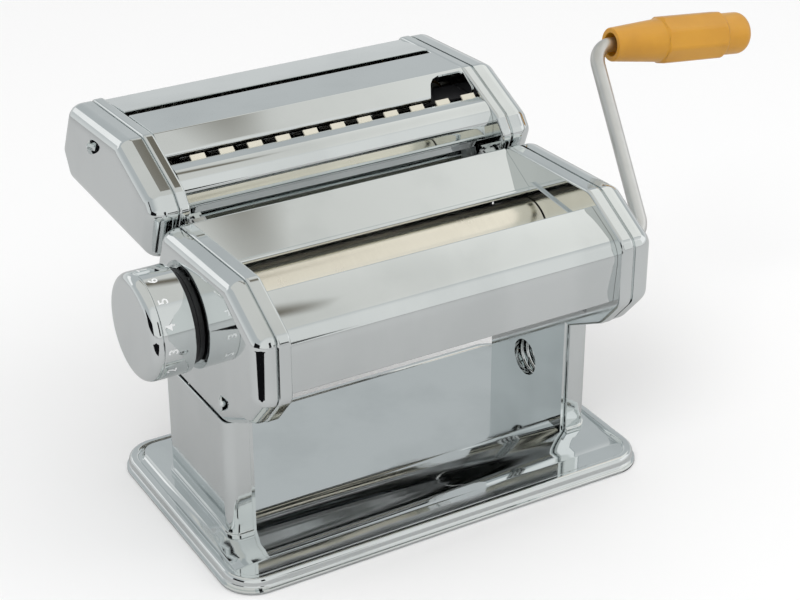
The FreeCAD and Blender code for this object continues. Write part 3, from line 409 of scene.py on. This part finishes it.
def fromNodes(name, mesh, finish, sockets, build):
    # a piece made by a node tree: sockets are (label, kind, value), and build gives the geometry
    tree = bpy.data.node_groups.new(name, "GeometryNodeTree")
    sockets = (*sockets, ("Finish", "NodeSocketMaterial", finish))
    keys = {label: tree.interface.new_socket(label, in_out="INPUT", socket_type=kind).identifier
            for label, kind, _ in sockets}
    tree.interface.new_socket("Geometry", in_out="OUTPUT", socket_type="NodeSocketGeometry")
    g = Graph(tree)
    given = g.node("NodeGroupInput")
    given = {label: Sock(g, given.outputs[label]) for label in keys}
    real = g.add("GeometryNodeRealizeInstances", None, {"Geometry": build(g, given)})
    done = g.add("GeometryNodeSetMaterial", None, {"Geometry": real, "Material": given["Finish"]})
    g.node("NodeGroupOutput", None, {"Geometry": done})
    piece = link(name, mesh)
    modifier = piece.modifiers.new(name, "NODES")
    modifier.node_group = tree
    for label, _, value in sockets:
        if value is not None:
            modifier[keys[label]] = value
    return plainMesh(piece)


def rowOf(g, count, pitch, part):
    # copies of a part in a row along X
    step = g.add("ShaderNodeCombineXYZ", None, {"X": pitch})
    row = g.add("GeometryNodeMeshLine", None, {"Count": count, "Offset": step})
    return g.add("GeometryNodeInstanceOnPoints", None, {"Points": row, "Instance": part}, "Instances")


def easedCopy(name, width, tool=None):
    # the same shape with its sharp edges eased
    mesh = copiedMesh(name)
    piece = link(camel(name) + "Eased", written(flattened(merged(mesh)), mesh))
    if tool:
        cutWith(piece, tool)
    bevel = bevelled(piece, width, 2, "ANGLE")
    bevel.angle_limit, bevel.use_clamp_overlap = math.radians(meshing["sharp"]), False
    weightedShade(piece)
    return standsFor(plainMesh(piece), name)


easedWidths = {"feed_tray": 0.2, "feed_guides": 0.25, "leg_left": 0.3, "leg_right": 0.3,
               "cutter_rear_tray": 0.2, "crank_grip": 0.45, "wide_cutter_front": 0.12,
               "wide_cutter_rear": 0.12, "rear_panel": 0.2, "index_plate": 0.25, "dial_knob": 0.3,
               "knob_cap": 0.3}
for name, width in easedWidths.items():
    easedCopy(name, width)
print("eased edges on", len(easedWidths), "pieces")


# bent sheets, given by their section in Y and Z

def softCorner(before, corner, after, radius, steps):
    # points of the arc that rounds a corner
    one, two = (before - corner).normalized(), (after - corner).normalized()
    half = one.angle(two) / 2
    run = radius / math.tan(half)
    centre = corner + (one + two).normalized() * (radius / math.sin(half))
    first, last = corner + one * run - centre, corner + two * run - centre
    whole = first.angle(last)
    return [centre + (first * math.sin((1 - k / steps) * whole) + last * math.sin(k / steps * whole))
            / math.sin(whole) for k in range(steps + 1)]


def backOf(outer, thick):
    # the sheet's other face
    inner = []
    for k, point in enumerate(outer):
        along = (outer[min(k + 1, len(outer) - 1)] - outer[max(k - 1, 0)]).normalized()
        inner.append(point + Vector((along.y, -along.x)) * thick)
    return inner


def bentSheet(name, section, half):
    piece = drawnOut(name, section, (-half, half), lambda x, q: (x, q.x, q.y))
    sharpened(smoothed(piece.data), meshing["sheetSharp"])
    return piece


# front panel: one sheet with a soft brow and a hemmed lower edge
panel = {"half": 75.4, "thick": 1.0, "lip": (-44.0, 124.3), "brow": (-63.9, 113.6), "foot": (-61.55, 88.6),
         "bend": 11.0, "bendSteps": 40, "hem": 0.5, "hemSteps": 8,
         "lipRadius": 1.5, "lipShift": 0.2, "lipTurn": 1.45, "lipSteps": 14, "lipClear": 3}


def frontPanel(p):
    foot, brow, lip = Vector(p["foot"]), Vector(p["brow"]), Vector(p["lip"])
    outer = [foot] + softCorner(foot, brow, lip, p["bend"], p["bendSteps"]) + [lip]
    down = (foot - brow).normalized()
    inward = Vector((-down.y, down.x))
    hem = [foot + down * p["hem"] * math.sin(a) + inward * p["thick"] * (1 - math.cos(a)) / 2
           for a in (math.pi * k / p["hemSteps"] for k in range(p["hemSteps"] - 1, 0, -1))]
    centre = lip + Vector((p["lipShift"], -p["lipRadius"]))
    roll = [centre + Vector((math.sin(a), math.cos(a))) * p["lipRadius"]
            for a in (math.pi * p["lipTurn"] * k / p["lipSteps"] for k in range(1, p["lipSteps"] + 1))]
    inner = backOf(outer, p["thick"])[:-p["lipClear"]]  # it ends short of the rolled lip
    section = outer + roll + inner[::-1] + hem
    return standsFor(bentSheet("frontPanelSheet", section, p["half"]), "front_panel")


frontPanel(panel)
print("front panel bent")


# apron of the cutter: a round nose over a recessed foot
apron = {"half": 74.4, "thick": 1.0,
         "path": ((32.2, 120.5), (32.2, 124.8), (30.5, 128.2), (30.5, 142.6), (43.0, 142.9)),
         "bends": ((1, 1.2, 6), (2, 1.2, 6), (3, 9.0, 24))}


def apronSheet(p):
    points = [Vector(q) for q in p["path"]]
    outer = [points[0]]
    for k, radius, steps in p["bends"]:
        outer += softCorner(points[k - 1], points[k], points[k + 1], radius, steps)
    outer.append(points[-1])
    section = outer + backOf(outer, p["thick"])[::-1]
    return standsFor(bentSheet("apronSheet", section, p["half"]), "cutter_apron")


apronSheet(apron)
print("apron bent")


# centre plate of the cutter: opening at its right end over a black plate, a painted reflection: the black seen
# through the opening stands for a dark reflection there
opening = {"plan": ((52.6, 44.0), (52.6, 47.2), (56.0, 53.2), (58.4, 55.4), (61.8, 56.4), (72.6, 56.4),
                    (73.9, 55.4), (73.9, 44.0)), "low": 139.0, "high": 156.0, "ease": 0.2,
           "guard": ((50.0, 74.3), (48.6, 63.5), (141.0, 141.8))}


def centreOpening(o):
    tool = drawnOut("openingTool", o["plan"], (o["low"], o["high"]), lambda z, q: (*q, z))
    easedCopy("cutter_centre_plate", o["ease"], tool)
    bpy.data.objects.remove(tool)
    # painted reflection: a black plate under the opening
    (left, right), (front, back), heights = o["guard"]
    corners = ((left, front), (right, front), (right, back), (left, back))
    guard = drawnOut("openingGuard", corners, heights, lambda z, q: (*q, z))
    return settle(guard, bodyOf["cutter_centre_plate"], "dark_plastic")


centreOpening(opening)
print("centre plate opened")


# base: the deck reaches out close to the bead, with a soft shoulder
base = {"halfX": 100.5, "halfY": 61.0, "corner": 15.0, "shoulder": 0.7, "shoulderSteps": 4,
        "shoulderAt": 8.2, "shoulderNear": 0.15, "deckLow": 7.9, "level": 0.9,
        "groove": (7.2, 9.7), "grooveHeights": (1.0, 4.9),
        "insets": ((0.0, 0.0), (1.0, 1.0), (4.25, 3.4), (7.5, 5.8), (9.5, 6.5), (12.0, 8.2), (18.0, 18.0))}


def insetOf(b, x, y):
    # how far in from the outline a point lies, and the way out from it
    past = Vector((abs(x) / mm - b["halfX"] + b["corner"], abs(y) / mm - b["halfY"] + b["corner"]))
    if past.x > 0 and past.y > 0:
        return b["corner"] - past.length, past.normalized()
    if past.x > past.y:
        return b["corner"] - past.x, Vector((1, 0))
    return b["corner"] - past.y, Vector((0, 1))


def onShoulder(b, edge):
    # an edge at the deck's rim that isn't between two level faces
    atRim = all(v.co.z > b["deckLow"] * mm and
                abs(insetOf(b, v.co.x, v.co.y)[0] - b["shoulderAt"]) < b["shoulderNear"] for v in edge.verts)
    return atRim and not all(abs(f.normal.z) > b["level"] for f in edge.link_faces)


def basePressing(b):
    mesh = copiedMesh("base_plate")
    work = flattened(merged(mesh))
    lowest, floorZ = b["grooveHeights"]
    for v in work.verts:
        inset, way = insetOf(b, v.co.x, v.co.y)
        for (low, lowNew), (high, highNew) in zip(b["insets"], b["insets"][1:]):
            if low <= inset <= high:
                shift = inset - (lowNew + (highNew - lowNew) * (inset - low) / (high - low))
                v.co.x += math.copysign(way.x * shift * mm, v.co.x)
                v.co.y += math.copysign(way.y * shift * mm, v.co.y)
                break
        if b["groove"][0] < inset < b["groove"][1] and lowest < v.co.z / mm < floorZ:
            v.co.z = floorZ * mm
    weights = work.edges.layers.float.new("bevel_weight_edge")
    for edge in work.edges:
        edge[weights] = 1.0 if onShoulder(b, edge) else 0.0
    piece = link("basePressing", written(work, mesh))
    bevelled(piece, b["shoulder"], b["shoulderSteps"], "WEIGHT")
    weightedShade(piece)
    return standsFor(plainMesh(piece), "base_plate")


basePressing(base)
print("base pressed")


# front scraper and its rod, tucked in under the roller
tuck = {"rodY": -42.0, "rodZ": 76.0, "near": 6.0, "above": 14.0, "by": (0.0, 12.0, -2.0), "top": 80.5}


def tucked(name, t):
    mesh = copiedMesh(name)
    work = merged(mesh)
    for v in work.verts:
        y, z = v.co.y / mm, v.co.z / mm
        if abs(y - t["rodY"]) < t["near"] and t["rodZ"] - t["near"] < z < t["rodZ"] + t["above"]:
            v.co += Vector(t["by"]) * mm
            v.co.z = min(v.co.z, t["top"] * mm)
    sharpened(written(work, mesh), meshing["sharp"])
    return standsFor(link(camel(name) + "Tucked", mesh), name)


for name in ("front_scraper", "tie_rods"):
    tucked(name, tuck)
print("scraper tucked in")


# spring in the knob, shown pressed so that the knob has room to be pulled out
press = {"share": 0.5}


def pressedSpring(p):
    mesh = smoothed(copiedMesh("knob_spring"))
    outer = min(v.co.x for v in mesh.vertices)
    for v in mesh.vertices:
        v.co.x = outer + (v.co.x - outer) * p["share"]
    return standsFor(link("knobSpringPressed", mesh), "knob_spring")


pressedSpring(press)
print("spring pressed")


# screws with a cross recess, set out by nodes

screw = {"radius": 3.3, "rise": 1.6, "brim": 0.35, "crown": 0.62, "dome": (0.12, 0.28, 0.48, 0.72, 1.0),
         "arm": 1.9, "slot": 0.62, "deep": 1.0, "taper": (0.55, 0.8), "shank": 1.6, "shankLength": 4.0,
         "around": 40, "sharp": 32, "turns": {"cover_screws": 24, "cutter_screws": 62}}


def crossTool(s):
    # two crossed bars that narrow downwards
    work = bmesh.new()
    for turn in (0, 1):
        for v in bmesh.ops.create_cube(work, size=1.0)["verts"]:
            x, y, z = 2 * s["arm"] * v.co.x, s["slot"] * v.co.y, 2 * s["deep"] * v.co.z + s["rise"]
            if z < s["rise"]:
                x, y = x * s["taper"][0], y * s["taper"][1]
            v.co = (-y, x, z) if turn else (x, y, z)
    return link("crossTool", written(work, bpy.data.meshes.new("crossTool"), False))


def screwBlank(s):
    # domed head along +Z with a cross cut into it
    rings = [(s["shank"], -s["shankLength"]), (s["shank"], 0.0), (s["radius"], 0.0),
             (s["radius"], s["rise"] * s["brim"])]
    rings += [(s["radius"] * (1 - s["crown"] * share),
               s["rise"] * (s["brim"] + (1 - s["brim"]) * math.sin(share * math.pi / 2)))
              for share in s["dome"]]
    around = s["around"]
    turns = [2 * math.pi * k / around for k in range(around)]
    work = bmesh.new()
    loops = [[work.verts.new((r * math.cos(a), r * math.sin(a), z)) for a in turns] for r, z in rings]
    for low, high in zip(loops, loops[1:]):
        for k in range(around):
            work.faces.new((low[k], low[(k + 1) % around], high[(k + 1) % around], high[k]))
    work.faces.new(loops[0][::-1])
    work.faces.new(loops[-1])
    blank = link("screwBlank", written(work, bpy.data.meshes.new("screwBlank"), False))
    tool = crossTool(s)
    cutWith(blank, tool).use_self = True
    plainMesh(blank)
    bpy.data.objects.remove(tool)
    sharpened(smoothed(blank.data), s["sharp"]).transform(Matrix.Scale(mm, 4))
    return blank


def setOut(name, points, turns, blank, finish):
    # one copy of the blank on each point, turned by its own angles
    def copies(g, given):
        part = g.add("GeometryNodeObjectInfo", None, {"Object": given["Blank"]}, "Geometry")
        turn = g.add("GeometryNodeInputNamedAttribute", {"data_type": "FLOAT_VECTOR"}, {"Name": "turn"},
                     "Attribute")
        return g.add("GeometryNodeInstanceOnPoints", None,
                     {"Points": given["Geometry"], "Instance": part, "Rotation": turn}, "Instances")

    mesh = bpy.data.meshes.new(name)
    mesh.from_pydata([Vector(p) * mm for p in points], [], [])
    layer = mesh.attributes.new("turn", "FLOAT_VECTOR", "POINT")
    for k, angles in enumerate(turns):
        layer.data[k].vector = [math.radians(a) for a in angles]
    return fromNodes(name, mesh, finish, (("Geometry", "NodeSocketGeometry", None),
                                          ("Blank", "NodeSocketObject", blank)), copies)


def looseParts(node):
    # the points of each separate part of a CAD node
    work = merged(nodes[node].data)
    parts, left = [], set(work.verts)
    while left:
        stack, found = [left.pop()], []
        while stack:
            v = stack.pop()
            found.append(v.co / mm)
            for other in (e.other_vert(v) for e in v.link_edges):
                if other in left:
                    left.remove(other)
                    stack.append(other)
        parts.append(found)
    work.free()
    return parts


def screwPlaces(node, s):
    # where each head seats, and whether it is on the right side
    places = []
    for found in looseParts(node):
        low = Vector([min(c[k] for c in found) for k in range(3)])
        high = Vector([max(c[k] for c in found) for k in range(3)])
        right = low.x > 0
        face = high.x - s["rise"] if right else low.x + s["rise"]
        places.append(((face, (low.y + high.y) / 2, (low.z + high.z) / 2), right))
    return places


blank = screwBlank(screw)
for node, angle in screw["turns"].items():
    places = screwPlaces(node, screw)
    turns = [(angle, 90, 0) if right else (-angle, -90, 0) for _, right in places]
    heads = setOut(node.split("_")[0] + "CrossScrews", [p for p, _ in places], turns, blank, finishes["chrome"])
    standsFor(heads, node)
bpy.data.objects.remove(blank)
print("screws set out")


# collar of rings in the clamp hole of the right leg, set out by nodes
collar = {"y": 1.0, "z": 31.0, "start": 77.0, "pitch": 2.9, "rings": 4, "radius": 8.55, "wall": 0.8,
          "around": 56, "section": 10}


def clampCollar(c):
    def rings(g, given):
        hoop, wire = g.circle(c["around"], given["Radius"]), g.circle(c["section"], given["Wall"])
        ring = g.add("GeometryNodeCurveToMesh", None, {"Curve": hoop, "Profile Curve": wire})
        stood = g.add("GeometryNodeTransform", None, {"Geometry": ring, "Rotation": (0, math.pi / 2, 0)})
        return rowOf(g, given["Rings"], given["Pitch"], stood)

    piece = fromNodes("clampCollar", bpy.data.meshes.new("clampCollar"), finishes["chrome"], (
        ("Rings", "NodeSocketInt", c["rings"]), ("Pitch", "NodeSocketFloat", c["pitch"] * mm),
        ("Radius", "NodeSocketFloat", (c["radius"] + c["wall"]) * mm),
        ("Wall", "NodeSocketFloat", c["wall"] * mm)), rings)
    smoothed(piece.data).transform(Matrix.Translation(Vector((c["start"], c["y"], c["z"])) * mm))
    return settle(piece, "machine_body", "chrome")


clampCollar(collar)
print("clamp collar set out")


# pale tips of the wide comb's fingers along the slot's front edge, set out by nodes
tabs = {"first": -60.9, "pitch": 13.08, "count": 11, "size": (6.5, 2.9, 0.8), "foot": (43.0, 142.4),
        "rise": 36.0}


def slotTabs(t):
    def tips(g, given):
        tab = g.add("GeometryNodeMeshCube", None, {"Size": given["Size"]}, "Mesh")
        tilt = g.add("ShaderNodeCombineXYZ", None, {"X": given["Rise"]})
        raised = g.add("GeometryNodeTransform", None, {"Geometry": tab, "Rotation": tilt})
        return rowOf(g, given["Count"], given["Pitch"], raised)

    half, angle = t["size"][1] / 2, math.radians(t["rise"])
    piece = fromNodes("slotTabs", bpy.data.meshes.new("slotTabs"), finishes[slotOf["wide_combs"]], (
        ("Count", "NodeSocketInt", t["count"]), ("Pitch", "NodeSocketFloat", t["pitch"] * mm),
        ("Size", "NodeSocketVector", Vector(t["size"]) * mm), ("Rise", "NodeSocketFloat", angle)), tips)
    middle = (t["first"], t["foot"][0] + half * math.cos(angle), t["foot"][1] + half * math.sin(angle))
    piece.data.transform(Matrix.Translation(Vector(middle) * mm))
    return settle(piece, bodyOf["wide_combs"], slotOf["wide_combs"])


slotTabs(tabs)
print("slot tabs set out")


# crank rod, drawn along its path by nodes

crank = {"hub": 93.7, "axisY": -29.7, "axisZ": 95.5, "neck": 20.8, "length": 88.0, "lean": 6.0, "rest": 40.0,
         "rod": 3.2, "bend": 9.0, "bendSteps": 28, "around": 48, "reach": 67.0, "flats": 7.0, "shank": 14.0,
         "point": (0.6, 0.5), "sharp": 35}


def crankPath(c):
    lean, rest = math.radians(c["lean"]), math.radians(c["rest"])
    arm = Vector((math.sin(lean), 0, math.cos(lean)))
    out = Vector((math.cos(lean), 0, -math.sin(lean)))
    start = Vector((c["hub"], 0, 0))
    elbow = start + Vector((c["neck"], 0, 0))
    wrist = elbow + arm * c["length"]
    laid = [start, elbow, wrist, wrist + out * c["reach"]]
    return [Vector((p.x, c["axisY"] + p.z * math.sin(rest), c["axisZ"] + p.z * math.cos(rest))) for p in laid]


def addShank(work, c):
    # hexagonal shank that goes into the roller, with its end eased
    radius, rest = c["flats"] / math.sqrt(3), math.radians(c["rest"])
    end, (length, less) = c["hub"] - c["shank"], c["point"]
    angles = [math.pi / 3 * k + math.pi / 6 - rest for k in range(6)]
    rows = [[work.verts.new(Vector((x, c["axisY"] + r * math.cos(a), c["axisZ"] + r * math.sin(a))) * mm)
             for a in angles] for x, r in ((end, radius - less), (end + length, radius), (c["hub"], radius))]
    for a, b in zip(rows, rows[1:]):
        for k in range(6):
            work.faces.new((a[k], a[(k + 1) % 6], b[(k + 1) % 6], b[k]))
    work.faces.new(rows[0][::-1])
    work.faces.new(rows[-1])


def crankRod(c):
    def rod(g, given):
        line = g.add("GeometryNodeMeshToCurve", None, {"Mesh": given["Geometry"]})
        bent = g.add("GeometryNodeFilletCurve", {"mode": "POLY"},
                     {"Curve": line, "Radius": given["Bend"], "Count": c["bendSteps"]})
        ring = g.circle(c["around"], given["Rod"])
        return g.add("GeometryNodeCurveToMesh", None, {"Curve": bent, "Profile Curve": ring, "Fill Caps": True})

    mesh = bpy.data.meshes.new("crankRod")
    mesh.from_pydata([p * mm for p in crankPath(c)], [(0, 1), (1, 2), (2, 3)], [])
    piece = fromNodes("crankRod", mesh, finishes["crank_steel"], (
        ("Geometry", "NodeSocketGeometry", None), ("Rod", "NodeSocketFloat", c["rod"] * mm),
        ("Bend", "NodeSocketFloat", c["bend"] * mm)), rod)
    work = bmesh.new()
    work.from_mesh(piece.data)
    addShank(work, c)
    bmesh.ops.recalc_face_normals(work, faces=work.faces)
    sharpened(written(work, piece.data), c["sharp"])
    return settle(piece, "crank", "crank_steel", None, ["crank_arm"])


crankRod(crank)
print("crank drawn")


# figures round the dial knob

dial = {"axisY": 4.4, "axisZ": 95.5, "radius": 22.5, "middleX": -102.8, "tall": 4.0, "first": -58.1,
        "step": 26.7, "stand": 0.05, "sink": 0.25, "count": 7, "weight": 0.012, "longest": 0.2}


def figureMesh(text, d):
    # one figure, with its long edges cut so that it can bend round the knob
    words = bpy.data.curves.new("figure", "FONT")
    words.body, words.size, words.resolution_u = text, 1.0, 6
    words.align_x, words.align_y = "CENTER", "CENTER"
    words.offset, words.extrude = d["weight"], 0.5
    holder = link("figure", words)
    mesh = shownMesh(holder)
    bpy.data.objects.remove(holder)
    glyph = bmesh.new()
    glyph.from_mesh(mesh)
    bmesh.ops.subdivide_edges(glyph, edges=[e for e in glyph.edges if e.calc_length() > d["longest"]], cuts=2)
    glyph.to_mesh(mesh)
    glyph.free()
    return mesh


def dialFigures(d):
    work = bmesh.new()
    for k in range(d["count"]):
        mesh = figureMesh(str(k + 1), d)
        low = min(v.co.y for v in mesh.vertices)
        high = max(v.co.y for v in mesh.vertices)
        scale = d["tall"] / (high - low)
        middle = math.radians(d["first"] + d["step"] * k)
        for v in mesh.vertices:
            lift = d["radius"] + (d["stand"] if v.co.z > 0 else -d["sink"])
            angle = middle + v.co.x * scale / d["radius"]
            x = d["middleX"] - (v.co.y - (low + high) / 2) * scale
            v.co = Vector((x, d["axisY"] - lift * math.cos(angle), d["axisZ"] + lift * math.sin(angle))) * mm
        work.from_mesh(mesh)
        bpy.data.meshes.remove(mesh)
    bmesh.ops.recalc_face_normals(work, faces=work.faces)
    mesh = bpy.data.meshes.new("dialFigures")
    work.to_mesh(mesh)
    work.free()
    return settle(link("dialFigures", mesh), "dial_knob", "chrome", figurePaint)


dialFigures(dial)
print("dial figures made")


# floor, cards seen only in the chrome, room and lights

stageLook = {"floor": 0.93, "floorGloss": 0.54, "reach": 6.0, "drop": 0.0004}


def onlyReflected(piece):
    piece.visible_camera = piece.visible_diffuse = piece.visible_shadow = False
    piece.visible_transmission = piece.visible_volume_scatter = False


def stagePlane(name, corners, material):
    mesh = bpy.data.meshes.new(name)
    mesh.from_pydata([Vector(c) for c in corners], [], [tuple(range(len(corners)))])
    piece = link(name, mesh)
    mesh.materials.append(material)
    return piece


def floorNodes(g):
    # pale to the camera, darker where the chrome mirrors it
    mirrored = g.add("ShaderNodeLightPath", output="Is Glossy Ray")
    colour = g.tint(mirrored, (stageLook["floor"],) * 3, (stageLook["floorGloss"],) * 3)
    return g.add("ShaderNodeBsdfDiffuse", None, {"Color": colour})


reach = stageLook["reach"]
floorCorners = [(x * reach, y * reach, -stageLook["drop"]) for x, y in ((-1, -1), (1, -1), (1, 1), (-1, 1))]
stagePlane("floor", floorCorners, newMaterial("paleFloor", floorNodes))


overhead = {"left": (0.66, 0.66, 0.635), "right": (0.92, 0.92, 0.89), "gap": (0.17, 0.155, 0.125),
            "gapAt": 0.31, "gapSlant": 0.25, "gapSoft": 0.085}


def overheadNodes(g):
    # two panels over the table with a soft dark gap between them
    split = g.node("ShaderNodeSeparateXYZ", None, {0: g.place()})
    across, along = Sock(g, split.outputs["X"]), Sock(g, split.outputs["Y"])
    off = (across + along * overhead["gapSlant"] - overhead["gapAt"]).math("ABSOLUTE", 0.0)
    lit = g.ramp(off, 0.0, overhead["gapSoft"]) + g.ramp(along, 0.16, -0.02)
    bright = g.tint(g.ramp(across, 0.2, 0.75), overhead["left"], overhead["right"])
    return g.glow(g.tint(lit, overhead["gap"], bright))


overCard = newMaterial("overheadPanels", overheadNodes)
whiteCard = newMaterial("whiteCard", lambda g: g.glow((1.0, 1.0, 1.0, 1.0)))
blackCard = newMaterial("blackCard", lambda g: g.glow((0.006, 0.006, 0.007, 1.0)))
cards = {
    "cardOver": (overCard, [(-0.9, -0.45, 0.95), (1.3, -0.45, 0.95), (1.3, 0.75, 0.95), (-0.9, 0.75, 0.95)]),
    "cardRight": (whiteCard, [(1.0, -1.1, 0.30), (1.5, -0.2, 0.30), (1.5, -0.2, 1.1), (1.0, -1.1, 1.1)]),
    "cardBack": (whiteCard, [(-1.3, 1.4, 0.55), (-0.3, 1.7, 0.55), (-0.3, 1.7, 0.95), (-1.3, 1.4, 0.95)]),
    "flagLeft": (blackCard, [(-0.40, -0.30, 0.002), (-0.22, -0.34, 0.002), (-0.17, -0.11, 0.002),
                             (-0.36, -0.05, 0.002)]),
    "flagWest": (blackCard, [(-0.9, -0.55, 0.03), (-0.95, 0.05, 0.03), (-0.95, 0.05, 0.42),
                             (-0.9, -0.55, 0.42)]),
    "flagFront": (blackCard, [(0.36, -1.2, 0.13), (0.482, -1.2, 0.225), (0.36, -1.2, 0.36)]),
    "flagLow": (blackCard, [(-0.13, -0.6, 0.12), (0.0, -0.6, 0.12), (0.0, -0.6, 0.45), (-0.13, -0.6, 0.45)]),
}
for name, (material, corners) in cards.items():
    onlyReflected(stagePlane(name, corners, material))


roomLook = {"low": (0.72, 0.735, 0.735), "high": (0.50, 0.525, 0.535), "front": (0.78, 0.79, 0.78),
            "fill": (0.86, 0.86, 0.86), "backdrop": (1.0, 1.0, 1.0)}


def room(look):
    # a white backdrop to the camera, a greyer room in the chrome
    world = bpy.data.worlds.new("room")
    scene.world = world
    world.use_nodes = True
    g = Graph(world.node_tree)
    path = g.node("ShaderNodeLightPath")
    way = g.node("ShaderNodeSeparateXYZ", None, {0: g.add("ShaderNodeTexCoord", output="Generated")})
    mirror = g.tint(g.ramp(Sock(g, way.outputs["Z"]), 0.02, 0.42), look["low"], look["high"])
    mirror = g.tint(g.ramp(Sock(g, way.outputs["Y"]), -0.25, -0.6), mirror, look["front"])
    colour = g.tint(Sock(g, path.outputs["Is Glossy Ray"]), look["fill"], mirror)
    colour = g.tint(Sock(g, path.outputs["Is Camera Ray"]), colour, look["backdrop"])
    g.node("ShaderNodeOutputWorld", None, {"Surface": g.glow(colour, "ShaderNodeBackground")})


lights = {"keyLight": {"place": (-0.9, -0.7, 1.5), "size": 0.9, "power": 9.0},
          "fillLight": {"place": (1.2, -0.5, 1.1), "size": 1.0, "power": 3.0}}
lightTarget = (0, 0, 0.08)


def softLight(name, given):
    lamp = bpy.data.lights.new(name, "AREA")
    lamp.shape, lamp.size, lamp.energy = "DISK", given["size"], given["power"]
    holder = link(name, lamp)
    holder.location = given["place"]
    way = Vector(lightTarget) - Vector(given["place"])
    holder.rotation_euler = way.to_track_quat("-Z", "Y").to_euler()
    holder.visible_glossy = False


room(roomLook)
for name, given in lights.items():
    softLight(name, given)
scene.view_settings.view_transform = "Standard"
print("stage lit")


# camera

view = {"place": (-0.3515, -0.6200, 0.4603), "back": (-0.4442, -0.7628, 0.4700),
        "right": (0.8643, -0.5030, 0.0), "lens": 85.93, "sensor": 36.0, "clip": (0.01, 50.0)}
lens = bpy.data.cameras.new("camera")
lens.lens, lens.sensor_width, lens.sensor_fit = view["lens"], view["sensor"], "HORIZONTAL"
lens.clip_start, lens.clip_end = view["clip"]
camera = link("camera", lens)
back, right = Vector(view["back"]).normalized(), Vector(view["right"]).normalized()
turned = Matrix((right, back.cross(right), back)).transposed().to_4x4()
camera.matrix_world = Matrix.Translation(view["place"]) @ turned
scene.camera = camera
